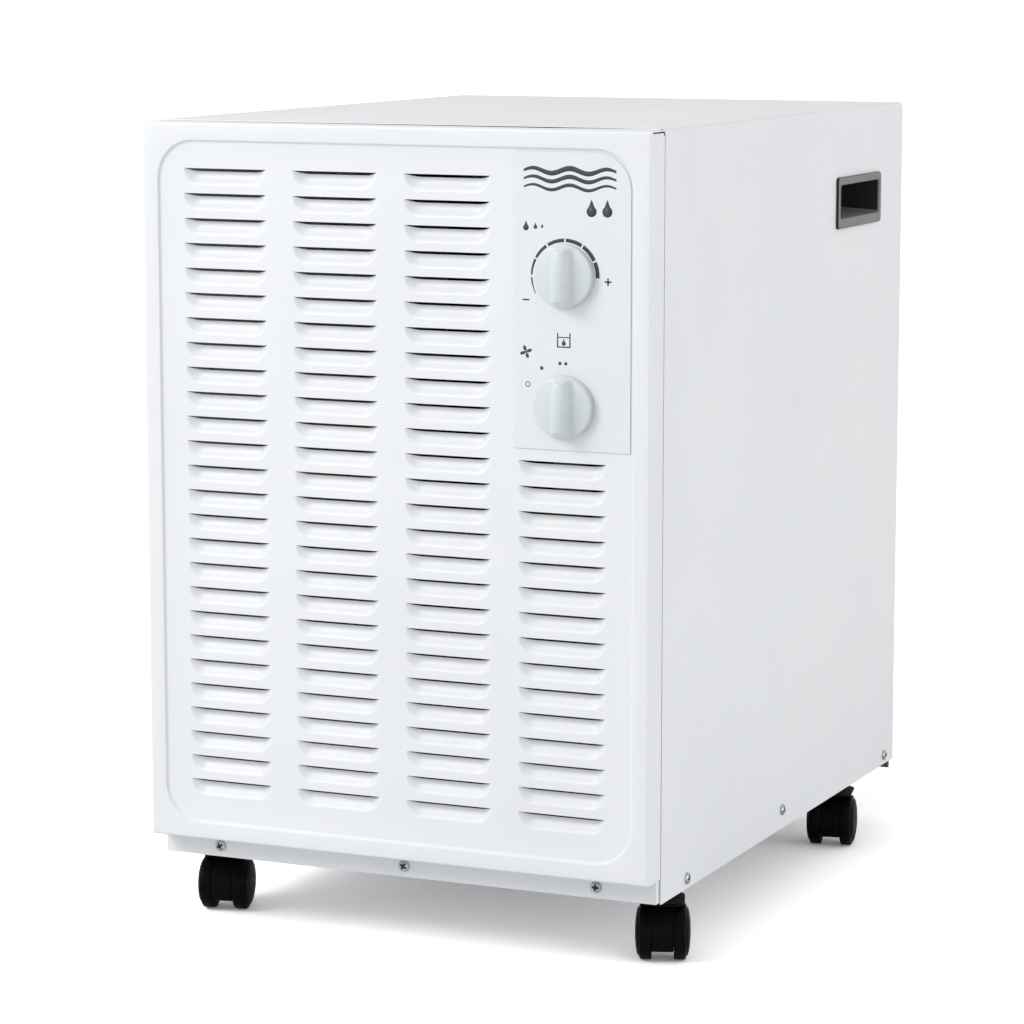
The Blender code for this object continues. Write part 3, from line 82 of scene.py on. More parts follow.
# Dials, screws and marks, in millimetres
KNOB_RADIUS = 21.5
KNOB_EDGE = 20.0
KNOB_BASE = 5.0
KNOB_CROWN = 2.2
KNOB_TOP = 15.9
BLADE_HALF = 3.6
BLADE_FOOT = 8.6
GRIP_HALF_LENGTH = 18.0
GRIP_SAG = 2.5
GRIP_CROWN = 0.7
GRIP_FLARE = 1.8
GRIP_END = 21.0
GRIP_END_RUN = 4.5
SCREW_RADIUS = 4.2
SCREW_RIM = 0.5
SCREW_DOME = 1.9
RECESS_DEPTH = 1.5
RECESS_POINT = 4.0
RECESS_ARM = 0.85
RECESS_REACH = 2.9
MARK_PROUD = 0.05
MARK_SUNK = 0.03

# Wheels, in metres
WHEEL_INNER_GAP = 0.0003
WHEEL_STEPS = 72

# Screws that have no node of their own, in metres
SIDE_SCREWS = ((0.0736, 0.0076), (0.27125, 0.0146), (0.5155, 0.0076))
REAR_SCREW_SIDE = 0.188
REAR_SCREW_HEIGHTS = (0.30, 0.43, 0.56)
REAR_SCREW_TOP_SIDE = 0.11
REAR_SCREW_TOP_DROP = 0.007

# Stage
FLOOR_HALF = 60
FLOOR_GAIN = 1.46
FLOOR_LIFT = 0.08
LIGHTS_AIM = (0, 0, 0.3)

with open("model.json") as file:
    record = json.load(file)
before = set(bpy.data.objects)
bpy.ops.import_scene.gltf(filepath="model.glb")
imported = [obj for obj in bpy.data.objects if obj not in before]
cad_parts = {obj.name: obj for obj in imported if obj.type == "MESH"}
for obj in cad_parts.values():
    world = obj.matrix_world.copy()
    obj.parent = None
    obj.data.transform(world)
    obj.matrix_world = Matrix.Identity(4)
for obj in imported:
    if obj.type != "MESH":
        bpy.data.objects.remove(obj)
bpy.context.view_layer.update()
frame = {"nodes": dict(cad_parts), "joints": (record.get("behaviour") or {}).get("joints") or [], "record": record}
nodes = frame["nodes"]
joints = {joint["name"]: joint for joint in frame["joints"]}
body_of = {
    node: body for body, members in frame["record"]["behaviour"]["bodies"].items() for node in members
}
scene = bpy.context.scene


# ---- materials ----


def linear(value):
    value /= 255
    return value / 12.92 if value <= 0.04045 else ((value + 0.055) / 1.055) ** 2.4


def colour(red, green, blue):
    """A colour as a paint chart gives it, 0 to 255 for each part."""
    return (linear(red), linear(green), linear(blue), 1.0)


class Look:
    """A material whose colour, roughness and relief all vary over the object's own coordinates."""

    def __init__(self, name, metallic=0.0, specular=0.5):
        self.material = bpy.data.materials.new(name)
        self.material.use_nodes = True
        self.tree = self.material.node_tree
        self.shader = self.tree.nodes["Principled BSDF"]
        self.shader.inputs["Metallic"].default_value = metallic
        self.shader.inputs["Specular IOR Level"].default_value = specular
        self.coordinates = self.tree.nodes.new("ShaderNodeTexCoord").outputs["Object"]

    def node(self, kind):
        return self.tree.nodes.new(kind)

    def link(self, output, socket):
        self.tree.links.new(output, socket)

    def noise(self, scale, detail=3.0, stretch=(1, 1, 1)):
        mapping = self.node("ShaderNodeMapping")
        mapping.inputs["Scale"].default_value = stretch
        self.link(self.coordinates, mapping.inputs["Vector"])
        texture = self.node("ShaderNodeTexNoise")
        texture.inputs["Scale"].default_value = scale
        texture.inputs["Detail"].default_value = detail
        self.link(mapping.outputs["Vector"], texture.inputs["Vector"])
        return texture.outputs["Fac"]

    def cells(self, scale):
        texture = self.node("ShaderNodeTexVoronoi")
        texture.inputs["Scale"].default_value = scale
        self.link(self.coordinates, texture.inputs["Vector"])
        return texture

    def ranged(self, value, low, high, start=0.3, end=0.7):
        node = self.node("ShaderNodeMapRange")
        node.inputs["From Min"].default_value = start
        node.inputs["From Max"].default_value = end
        node.inputs["To Min"].default_value = low
        node.inputs["To Max"].default_value = high
        self.link(value, node.inputs["Value"])
        return node.outputs["Result"]

    def blend(self, factor, first, second):
        node = self.node("ShaderNodeMix")
        node.data_type = "RGBA"
        for socket, value in ((node.inputs[6], first), (node.inputs[7], second)):
            if isinstance(value, tuple):
                socket.default_value = value
            else:
                self.link(value, socket)
        self.link(factor, node.inputs[0])
        return node.outputs[2]

    def paint(self, output):
        self.link(output, self.shader.inputs["Base Color"])

    def rough(self, output):
        self.link(output, self.shader.inputs["Roughness"])

    def relief(self, height, depth):
        bump = self.node("ShaderNodeBump")
        bump.inputs["Distance"].default_value = depth
        bump.inputs["Strength"].default_value = 1.0
        self.link(height, bump.inputs["Height"])
        self.link(bump.outputs["Normal"], self.shader.inputs["Normal"])


def coated(name, light, dark, rough, peel=720, depth=0.000012, patch=7.0, specular=0.5):
    """Paint or moulded plastic: slow drift of tone, fine grain, and an orange-peel or eroded skin."""
    look = Look(name, specular=specular)
    drift = look.ranged(look.noise(patch, 4.0), 0.0, 1.0)
    base = look.blend(drift, light, dark)
    specks = look.ranged(look.noise(2600, 2.0), 0.0, 0.05, 0.62, 0.75)
    look.paint(look.blend(specks, base, tuple(c * 0.6 for c in dark[:3]) + (1.0,)))
    look.rough(look.ranged(look.noise(patch * 5, 5.0), *rough))
    look.relief(look.noise(peel, 2.0), depth)
    return look.material


def brushed(name, light, dark, rough, stretch=(1, 1, 1), scale=260):
    """Drawn or rolled metal, with fine streaks where the stretch isn't the same all round."""
    look = Look(name, metallic=1.0)
    streaks = look.noise(scale, 4.0, stretch)
    look.paint(look.blend(look.ranged(streaks, 0.0, 1.0), light, dark))
    look.rough(look.ranged(look.noise(60, 4.0), *rough))
    look.relief(streaks, 0.00001)
    return look.material


def spangled(name):
    """Galvanised sheet: zinc crystals of a few millimetres."""
    look = Look(name, metallic=1.0)
    crystals = look.cells(190)
    tone = look.node("ShaderNodeSeparateColor")
    look.link(crystals.outputs["Color"], tone.inputs["Color"])
    mix = look.blend(tone.outputs["Red"], colour(172, 175, 178), colour(134, 138, 142))
    look.paint(mix)
    look.rough(look.ranged(tone.outputs["Green"], 0.36, 0.55, 0.0, 1.0))
    look.relief(look.noise(900, 3.0), 0.00001)
    return look.material


def foam(name):
    look = Look(name)
    pores = look.cells(650)
    # The pits of the pore relief are coloured darker: painted shade in the pores
    pore_shade = look.ranged(pores.outputs["Distance"], 0.0, 1.0, 0.1, 0.6)
    look.paint(look.blend(pore_shade, colour(26, 27, 29), colour(70, 72, 75)))
    look.rough(look.ranged(look.noise(90), 0.85, 0.98))
    look.relief(pores.outputs["Distance"], 0.0006)
    return look.material


def water_stained(name):
    """Plastic that water has run over: faint scale drawn downwards."""
    look = Look(name)
    runs = look.ranged(look.noise(26, 6.0, (1, 1, 0.12)), 0.0, 0.35, 0.5, 0.75)
    look.paint(look.blend(runs, colour(88, 96, 99), colour(118, 124, 126)))
    look.rough(look.ranged(look.noise(45, 5.0), 0.4, 0.6))
    look.relief(look.noise(1100, 2.0), 0.00003)
    return look.material


WHITE = coated("white_enamel", colour(225, 227, 229), colour(221, 223, 226), (0.36, 0.46))
FILM = coated("label_film", colour(220, 224, 227), colour(217, 221, 225), (0.30, 0.38), 1500, 0.000005)
KNOB = coated("knob_plastic", colour(206, 213, 217), colour(200, 208, 212), (0.25, 0.34), 1900, 0.00001)
GREY = coated("grey_plastic", colour(120, 120, 121), colour(111, 111, 113), (0.45, 0.58), 1700, 0.00003)
# Near-black painted shade for the handles' outer skirts and cup walls, on what is the same grey plastic
PAINTED_SHADE = coated("grey_plastic_painted_shade", colour(36, 36, 38), colour(29, 29, 31), (0.42, 0.55), 1700, 0.00003, 7, 0.2)
SLATE = coated("slate_plastic", colour(82, 91, 95), colour(74, 83, 87), (0.42, 0.56), 1500, 0.00003)
BLACK = coated("black_plastic", colour(9, 9, 11), colour(6, 6, 8), (0.34, 0.46), 1300, 0.00002, 30, 0.06)
ENAMEL = coated("black_enamel", colour(30, 31, 33), colour(20, 21, 22), (0.22, 0.34), 500, 0.00003)
RUBBER = coated("black_rubber", colour(34, 34, 35), colour(27, 27, 28), (0.7, 0.85), 1000, 0.00005)
INK = coated("label_ink", colour(66, 67, 71), colour(58, 59, 63), (0.4, 0.5), 1800, 0.000004, 60)
ZINC = brushed("zinc_steel", colour(196, 199, 198), colour(160, 164, 165), (0.2, 0.34))
# Dark zinc for the screws' cross recesses: painted shade, not a different metal
RECESS_SHADE = brushed("zinc_painted_recess_shade", colour(70, 74, 74), colour(48, 52, 53), (0.3, 0.45))
FINS = brushed("aluminium_fins", colour(206, 208, 210), colour(168, 171, 174), (0.3, 0.45), (30, 1, 1))
COPPER = brushed("copper_pipe", colour(206, 132, 96), colour(150, 88, 62), (0.24, 0.42), scale=60)
GALVANISED = spangled("galvanised_steel")
FOAM = foam("filter_foam")
TRAY = water_stained("wet_plastic")


# ---- meshes ----


def place(obj, body, slot, replaced=()):
    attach(obj, body)
    if replaced:
        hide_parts(*replaced)
    return obj


def new_object(name, bm, look):
    mesh = bpy.data.meshes.new(name)
    bm.to_mesh(mesh)
    bm.free()
    mesh.materials.append(look)
    mesh.shade_smooth()
    obj = bpy.data.objects.new(name, mesh)
    scene.collection.objects.link(obj)
    return obj


def weighted(obj):
    modifier = obj.modifiers.new("normals", "WEIGHTED_NORMAL")
    modifier.weight = 90
    return obj


def thicken(obj, thickness):
    modifier = obj.modifiers.new("sheet", "SOLIDIFY")
    modifier.thickness = thickness
    modifier.offset = -1
    return obj


def baked(obj, angle):
    """Keeps the modifiers' result as the mesh, with hard edges only where it really folds."""
    graph = bpy.context.evaluated_depsgraph_get()
    mesh = bpy.data.meshes.new_from_object(obj.evaluated_get(graph))
    obj.modifiers.clear()
    obj.data = mesh
    mesh.shade_smooth()
    mesh.set_sharp_from_angle(angle=math.radians(angle))
    return obj


def loops_mesh(bm, loops, skip=lambda row, index: False):
    """Bridges closed loops of the same length, row by row."""
    rows = [[bm.verts.new(point) for point in loop] for loop in loops]
    for row, (inner, outer) in enumerate(zip(rows, rows[1:])):
        count = len(inner)
        for i in range(count):
            if not skip(row, i):
                j = (i + 1) % count
                bm.faces.new((inner[i], inner[j], outer[j], outer[i]))
    return rows


def smoothstep(value):
    value = max(0.0, min(1.0, value))
    return value * value * (3 - 2 * value)


def rounded_loop(half, low, high, radius, steps=CORNER_STEPS):
    """(x, z) points anticlockwise from the lower right corner."""
    points = []
    corners = ((half, low, -90), (half, high, 0), (-half, high, 90), (-half, low, 180))
    for x, z, start in corners:
        centre_x = x - math.copysign(radius, x)
        centre_z = z + radius if z == low else z - radius
        for i in range(steps + 1):
            angle = math.radians(start + 90 * i / steps)
            points.append((centre_x + radius * math.cos(angle), centre_z + radius * math.sin(angle)))
    return points


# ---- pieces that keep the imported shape, with real edges and a finish ----


def refined(node, look, slot, edge=0.0004, segments=2):
    """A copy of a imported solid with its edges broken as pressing, moulding or turning leaves them."""
    bm = bmesh.new()
    bm.from_mesh(nodes[node].data)
    bmesh.ops.remove_doubles(bm, verts=bm.verts, dist=2e-6)
    bmesh.ops.dissolve_limit(bm, angle_limit=math.radians(0.3), verts=bm.verts, edges=bm.edges)
    obj = new_object(node + "_shape", bm, look)
    if edge:
        bevel = obj.modifiers.new("edges", "BEVEL")
        bevel.width = edge
        bevel.segments = segments
        bevel.limit_method = "ANGLE"
        bevel.angle_limit = math.radians(40)
        bevel.use_clamp_overlap = False
    weighted(obj)
    return place(obj, body_of[node], slot, (node,))


def dress(look, *names):
    for name in names:
        for slot in nodes[name].material_slots:
            slot.link = "OBJECT"
            slot.material = look


# ---- front panel ----

panel_low, panel_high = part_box("front_panel")
label_low, label_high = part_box("control_label")
knob_boxes = {kind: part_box(kind + "_knob") for kind in ("humidistat", "selector")}
dial_seats = {
    kind: ((low.x + high.x) / 2, high.y, (low.z + high.z) / 2) for kind, (low, high) in knob_boxes.items()
}
half_width = panel_high.x
field_half = half_width - FIELD_SIDE
field_low = panel_low.z + FIELD_END
field_high = panel_high.z - FIELD_END


def louvre_places():
    """Left end, right end and height of each cut."""
    pitch = (2 * (field_half - LOUVRE_MARGIN) + LOUVRE_GAP) / LOUVRE_COLUMNS
    for column in range(LOUVRE_COLUMNS):
        left = LOUVRE_MARGIN - field_half + column * pitch
        height = field_high - LOUVRE_DROP
        while height > field_low + LOUVRE_FOOT:
            if column < LOUVRE_COLUMNS - 1 or height < label_low.z - LOUVRE_UNDER_LABEL:
                yield left, left + pitch - LOUVRE_GAP, height
            height -= LOUVRE_PITCH


def louvre_columns(left, right):
    """For each x across a louvre: x, drop of its outline below the cut, distance past the spine."""
    radius = LOUVRE_RADIUS
    turns = [math.radians(90 * i / CORNER_STEPS) for i in range(CORNER_STEPS + 1)]
    near = [(left + radius * (1 - math.cos(a)), radius * math.sin(a), radius * math.cos(a)) for a in turns]
    step = (right - left - 2 * radius) / LOUVRE_MIDDLE
    middle = [(left + radius + step * i, radius, 0.0) for i in range(1, LOUVRE_MIDDLE)]
    far = [(left + right - x, drop, past) for x, drop, past in reversed(near)]
    return near + middle + far


def pressed(distance):
    """How far the sheet is pushed in, 0 to 1, at a distance from the louvre's spine."""
    t = max(0.0, 1 - distance / LOUVRE_RADIUS)
    rise = 1.1 * t * t / (t + 0.1)
    return 1 - (1 - min(rise, 1.0)) ** 2


def add_louvre(bm, left, right, height):
    """The pressed tongue under one cut, and a narrow flat ring round it. Returns the ring's outline."""
    face_y = panel_low.y + FIELD_SINK
    columns = louvre_columns(left, right)
    tongue = []
    for x, drop, past in columns:
        lip = LOUVRE_LIP_DROP * pressed(past)
        row = []
        for i in range(LOUVRE_ROWS + 1):
            share = i / LOUVRE_ROWS
            depth = LOUVRE_DEPTH * pressed(math.hypot(past, drop * share))
            row.append(bm.verts.new((x, face_y + depth, height - lip - (drop - lip) * share)))
        tongue.append(row)
    for first, second in zip(tongue, tongue[1:]):
        for i in range(LOUVRE_ROWS):
            bm.faces.new((first[i], first[i + 1], second[i + 1], second[i]))
    ring = LOUVRE_RING
    inner = [(x, height) for x, _, _ in columns]
    outer = [(x, height + ring) for x, _, _ in columns]
    outer[0] = (left - ring, height + ring)
    outer[-1] = (right + ring, height + ring)
    for x, drop, past in reversed(columns[1:-1]):
        out_x = ring * past / LOUVRE_RADIUS * (1 if x > (left + right) / 2 else -1)
        out_z = -ring * drop / LOUVRE_RADIUS
        inner.append((x, height - drop))
        outer.append((x + out_x, height - drop + out_z))
    loops_mesh(bm, [[(x, face_y, z) for x, z in loop] for loop in (inner, outer)])
    return outer


def add_flat(bm, outlines):
    """Fills between the outlines, the first of which surrounds the others."""
    points, edges, owner = [], [], []
    for number, outline in enumerate(outlines):
        start, count = len(points), len(outline)
        points += [Vector(point) for point in outline]
        owner += [number] * count
        edges += [(start + i, start + (i + 1) % count) for i in range(count)]
    found = delaunay_2d_cdt(points, edges, [], 1, 1e-7)
    corners = [bm.verts.new((p.x, panel_low.y + FIELD_SINK, p.y)) for p in found[0]]
    for face in found[2]:
        owners = {owner[i] for i in face}
        if len(owners) > 1 or owners == {0}:
            bm.faces.new([corners[i] for i in face])


def panel_loops():
    """(y, outline) of each loop from the sunk field out over the border and back along the flanges."""
    field_loops = []
    for grow, sink in FIELD_STEP:
        grow *= MM
        outline = (field_half + grow, field_low - grow, field_high + grow, FIELD_CORNER + grow)
        field_loops.append((panel_low.y + FIELD_SINK * sink, outline))
    bend, corner = PANEL_BEND, PANEL_CORNER
    for i in range(BEND_STEPS + 1):
        angle = math.radians(90 * i / BEND_STEPS)
        inset = bend * (1 - math.sin(angle))
        outline = (half_width - inset, panel_low.z + inset, panel_high.z - inset, corner)
        field_loops.append((panel_low.y + bend * (1 - math.cos(angle)), outline))
    for back in (2 * RELIEF_NOTCH / 3, RELIEF_NOTCH / 2, 0):
        field_loops.append((panel_high.y - back, outline))
    return field_loops


def with_slits(outline, slit):
    """Adds a point below each upper corner, where the top and side flanges don't meet."""
    points = rounded_loop(*outline)
    per_corner = CORNER_STEPS + 1
    right, left = points[per_corner], points[3 * per_corner - 1]
    points.insert(3 * per_corner, (left[0], left[1] - slit))
    points.insert(per_corner, (right[0], right[1] - slit))
    return points


def make_front_panel():
    bm = bmesh.new()
    notch_y = panel_high.y - RELIEF_NOTCH / 2
    loops = []
    for y, outline in panel_loops():
        loops.append((y, with_slits(outline, RELIEF_NOTCH if y >= notch_y else SLIT)))
    per_corner = CORNER_STEPS + 1
    slit_rows = len(loops) - 4
    slits = {per_corner, 3 * per_corner}
    seam_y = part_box("cabinet_cover")[0].y
    rows = [[(x, y, z) for x, z in points] for y, points in loops]
    for row in rows[-3:]:
        for i, (x, y, z) in enumerate(row):
            top = z > panel_high.z - SAME_PLACE
            back = seam_y - panel_high.y if top else -SIDE_SEAM
            row[i] = (x, y + back, z)
            if top and row is rows[-1]:
                row[i] = (x, y + back + TOP_TUCK, z - TOP_TUCK)
    loops_mesh(bm, rows, lambda row, index: row >= slit_rows and index in slits)
    outlines = [loops[0][1]]
    for left, right, height in louvre_places():
        outlines.append(add_louvre(bm, left, right, height))
    for x, _, z in dial_seats.values():
        angles = [math.tau * i / SHAFT_HOLE_STEPS for i in range(SHAFT_HOLE_STEPS)]
        outlines.append([(x + SHAFT_HOLE * math.cos(a), z + SHAFT_HOLE * math.sin(a)) for a in angles])
    add_flat(bm, outlines)
    bmesh.ops.remove_doubles(bm, verts=bm.verts, dist=2e-6)
    bmesh.ops.recalc_face_normals(bm, faces=bm.faces)
    widest = max((f for f in bm.faces if abs(f.normal.y) > 0.99), key=lambda face: face.calc_area())
    if widest.normal.y > 0:
        bmesh.ops.reverse_faces(bm, faces=bm.faces)
    panel = thicken(new_object("front_panel_shape", bm, WHITE), SHEET)
    baked(panel, 50)
    return place(panel, "cabinet", "white_enamel", ("front_panel",))


# ---- handles ----


def inside_mouth(face, centre_y, centre_z):
    """Whether a face lies within the handle's opening, rolled edge included."""
    centre = face.calc_center_median()
    across, up = abs(centre.y - centre_y), abs(centre.z - centre_z - HANDLE_MOUTH_RISE)
    return across < HANDLE_MOUTH[0] / 2 + HANDLE_EDGE and up < HANDLE_MOUTH[1] / 2 + HANDLE_EDGE


def make_handle(name, side):
    low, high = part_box(name)
    outer = (high.x if side > 0 else -low.x) - HANDLE_PROUD
    centre_y, centre_z = (low.y + high.y) / 2, (low.z + high.z) / 2
    flange, mouth = HANDLE_FLANGE, HANDLE_MOUTH
    rise = HANDLE_MOUTH_RISE
    steps = []
    # growth of the outline and height over the wall, in millimetres: up the flange, then into the mouth
    for grow, height in ((0, 0), (0, 1.1), (-0.25, 1.8), (-0.8, 2.25), (-1.6, 2.4)):
        steps.append((flange, grow, 0.0, HANDLE_FLANGE_CORNER + grow, height))
    for grow, height in ((1.4, 2.4), (0.7, 2.2), (0.2, 1.6), (0, 0.6)):
        steps.append((mouth, grow, rise, HANDLE_MOUTH_CORNER + grow, height))
    floor = -HANDLE_DEPTH / MM + HANDLE_PROUD / MM
    for grow, height in ((-1.2, floor + 4), (-2.2, floor + 1.4), (-4.2, floor)):
        steps.append((mouth, grow, rise, HANDLE_FLOOR_CORNER, height))
    loops = []
    for (width, tall), grow, shift, radius, height in steps:
        half_y, half_z = width / 2 + grow * MM, tall / 2 + grow * MM
        outline = rounded_loop(half_y, shift - half_z, shift + half_z, radius * MM, 5)
        x = side * (outer + height * MM)
        loops.append([(x, centre_y + u, centre_z + w) for u, w in outline])
    bm = bmesh.new()
    rows = loops_mesh(bm, loops)
    bm.faces.new(rows[-1])
    bmesh.ops.recalc_face_normals(bm, faces=bm.faces)
    bottom = bm.faces[:][-1]
    if bottom.normal.x * side < 0:
        bmesh.ops.reverse_faces(bm, faces=bm.faces)
    # Painted shade: the flange's outer skirt and the cup's walls take the near-black second material, where the
    # grey handle only lies in shade; the cup floor keeps the grey
    for face in bm.faces:
        deep = side * face.calc_center_median().x < outer + 0.0002
        inside = abs(face.calc_center_median().z - centre_z) < HANDLE_MOUTH[1] / 2 + 0.001
        shade_painted_skirt = abs(face.normal.x) < 0.5 and not inside_mouth(face, centre_y, centre_z)
        face.material_index = int(shade_painted_skirt or deep and inside and face.normal.z < 0.5)
    cup = thicken(new_object(name + "_shape", bm, GREY), HANDLE_WALL)
    cup.data.materials.append(PAINTED_SHADE)
    baked(cup, 55)
    return place(cup, "cabinet", "grey_plastic", (name,))


# ---- dials ----


def knob_height(u, w):
    """Height in millimetres over the seat, with u across the grip and w along it."""
    r = math.hypot(u, w)
    if r > KNOB_EDGE:
        past = min(1.0, (r - KNOB_EDGE) / (KNOB_RADIUS - KNOB_EDGE))
        return KNOB_BASE - (KNOB_RADIUS - KNOB_EDGE) * (1 - math.sqrt(1 - past * past))
    dome = KNOB_BASE + KNOB_CROWN * (1 - (r / KNOB_EDGE) ** 2)
    across = max(0.0, abs(u) - BLADE_HALF) / (BLADE_FOOT - BLADE_HALF)
    if across >= 1:
        return dome
    crown = min(abs(u) / BLADE_HALF, 1.0) ** 2
    ridge = KNOB_TOP - GRIP_SAG * (w / GRIP_HALF_LENGTH) ** 2 - GRIP_CROWN * crown
    share = (1 - across) ** GRIP_FLARE * smoothstep((GRIP_END - abs(w)) / GRIP_END_RUN)
    return dome + (ridge - dome) * share


def screw_height(u, w):
    """A pan head with a cross recess, in millimetres."""
    r = math.hypot(u, w) / SCREW_RADIUS
    head = SCREW_RIM + SCREW_DOME * math.sqrt(max(0.0, 1 - r**3))
    return head - recess(u, w) * RECESS_DEPTH * (1 - max(abs(u), abs(w)) / RECESS_POINT)


def recess(u, w):
    """The cross that the driver fits, 1 inside it."""
    arm, along = sorted((abs(u), abs(w)))
    return smoothstep((RECESS_ARM - arm) / 0.25) * smoothstep((RECESS_REACH - along) / 0.5)


def turned_relief(bm, height, radius, rings, around, to_world):
    """A round boss whose face follows height(u, w), closed by a rim down to height 0."""
    loops = []
    for ring in range(1, rings + 1):
        r = radius * (ring / rings) ** 0.8
        loop = []
        for i in range(around):
            angle = math.tau * i / around
            u, w = r * math.cos(angle), r * math.sin(angle)
            loop.append(to_world(u, w, height(u, w)))
        loops.append(loop)
    angles = [math.tau * i / around for i in range(around)]
    loops.append([to_world(radius * math.cos(a), radius * math.sin(a), 0.0) for a in angles])
    rows = loops_mesh(bm, loops)
    centre = bm.verts.new(to_world(0, 0, height(0, 0)))
    first, last = rows[0], rows[-1]
    for i in range(around):
        bm.faces.new((centre, first[i], first[(i + 1) % around]))
    bm.faces.new(last)


def make_knob(kind):
    x, seat_y, z = dial_seats[kind]

    def to_world(u, w, h):
        return x + u * MM, seat_y - h * MM, z + w * MM

    bm = bmesh.new()
    turned_relief(bm, knob_height, KNOB_RADIUS, 46, 160, to_world)
    bmesh.ops.recalc_face_normals(bm, faces=bm.faces)
    knob = new_object(kind + "_knob_shape", bm, KNOB)
    knob.data.set_sharp_from_angle(angle=math.radians(60))
    return place(knob, kind + "_dial", "knob_plastic", (kind + "_knob",))


def screw_mesh(to_world):
    """A screw head whose cross recess has the second, darker material: painted shade in the recess."""
    bm = bmesh.new()
    turned_relief(bm, screw_height, SCREW_RADIUS, 20, 64, to_world)
    flat = bmesh.new()
    turned_relief(flat, recess, SCREW_RADIUS, 20, 64, lambda u, w, h: (u, w, h))
    for face, mark in zip(bm.faces, flat.faces):
        face.material_index = int(mark.calc_center_median().z > 0.5)
    flat.free()
    bmesh.ops.recalc_face_normals(bm, faces=bm.faces)
    return bm


def screw_facing(origin, out, turn):
    """Maps a screw's own directions to a wall that faces out, turned about its axis."""
    out = Vector(out)
    up = Vector((0, 0, 1))
    side = up.cross(out)
    spin = Matrix.Rotation(turn, 3, out)
    side, up = spin @ side, spin @ up

    def to_world(u, w, h):
        return Vector(origin) + (side * u + up * w + out * h) * MM

    return to_world


def make_screw(name, origin, out, turn, replaced=()):
    screw = new_object(name, screw_mesh(screw_facing(origin, out, turn)), ZINC)
    screw.data.materials.append(RECESS_SHADE)
    screw.data.set_sharp_from_angle(angle=math.radians(60))
    place(screw, "cabinet", "zinc_steel", replaced)


def make_screws():
    turn = 0.5
    pan_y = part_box("base_pan")[0].y
    for i in (1, 2, 3):
        low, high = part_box(f"pan_screw_{i}")
        origin = ((low.x + high.x) / 2, pan_y, (low.z + high.z) / 2)
        make_screw(f"front_screw_{i}", origin, (0, -1, 0), turn * i, (f"pan_screw_{i}",))
    cover_low, cover_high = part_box("cabinet_cover")
    for i, (back, rise) in enumerate(SIDE_SCREWS, 1):
        for name, side in (("left", -1), ("right", 1)):
            origin = (side * cover_high.x, panel_low.y + back, cover_low.z + rise)
            make_screw(f"side_screw_{name}_{i}", origin, (side, 0, 0), turn * i + side)
    spots = [(side * REAR_SCREW_SIDE, z) for side in (-1, 1) for z in REAR_SCREW_HEIGHTS]
    spots += [(side * REAR_SCREW_TOP_SIDE, cover_high.z - REAR_SCREW_TOP_DROP) for side in (-1, 1)]
    for i, (x, z) in enumerate(spots, 1):
        make_screw(f"rear_screw_{i}", (x, cover_high.y, z), (0, 1, 0), 0.7 * i)


# ---- marks on the label ----


class Print:
    """Flat shapes printed on the label, in millimetres right of its left edge and down from its top."""

    def __init__(self):
        self.bm = bmesh.new()

    def shape(self, points):
        """A closed outline as a thin film that stands just proud of the label."""
        left, y, top = label_low.x, label_low.y, label_high.z
        places = [(left + u * MM, y - MARK_PROUD * MM, top - w * MM) for u, w in points]
        front = [self.bm.verts.new(place) for place in places]
        back = [self.bm.verts.new((x, y + MARK_SUNK * MM, z)) for x, _, z in places]
        self.bm.faces.new(front)
        self.bm.faces.new(back[::-1])
        for i in range(len(front)):
            j = (i + 1) % len(front)
            self.bm.faces.new((front[j], front[i], back[i], back[j]))

    def strip(self, inner, outer):
        """A band between two rows of points."""
        for i in range(len(inner) - 1):
            self.shape((inner[i], inner[i + 1], outer[i + 1], outer[i]))

    def arc(self, centre, radius, start, end, thin, thick, steps=14):
        inner, outer = [], []
        for i in range(steps + 1):
            share = i / steps
            angle = math.radians(start + (end - start) * share)
            width = thin + (thick - thin) * share
            for row, r in ((inner, radius - width), (outer, radius)):
                row.append((centre[0] + r * math.cos(angle), centre[1] - r * math.sin(angle)))
        self.strip(inner, outer)

    def bar(self, u, w, width, height):
        self.shape(((u, w), (u + width, w), (u + width, w + height), (u, w + height)))

    def dot(self, u, w, radius):
        angles = [math.tau * i / 24 for i in range(24)]
        self.shape([(u + radius * math.cos(a), w + radius * math.sin(a)) for a in angles])

    def drop(self, u, w, size):
        """A water drop with its point up."""
        points = []
        for i in range(33):
            angle = math.radians(125 + 290 * i / 32)
            round_u, round_w = 0.8 * size * math.cos(angle), 0.8 * size * math.sin(angle)
            points.append((u + round_u, w + size * 0.55 - round_w))
        points.append((u, w - size * 1.25))
        self.shape(points)

    def waves(self, u, w, width, height, swing, count):
        """A wavy stroke that tapers at both ends."""
        steps = 48
        upper, lower = [], []
        for i in range(steps + 1):
            share = i / steps
            middle = w - swing * math.sin(math.tau * count * share)
            half = height / 2 * math.sin(math.pi * (0.08 + 0.84 * share)) ** 0.5
            upper.append((u + width * share, middle - half))
            lower.append((u + width * share, middle + half))
        self.strip(upper, lower)

    def done(self, name, look):
        place(new_object(name, self.bm, look), "cabinet", "label_film")


def label_place(kind):
    x, _, z = dial_seats[kind]
    return (x - label_low.x) / MM, (label_high.z - z) / MM


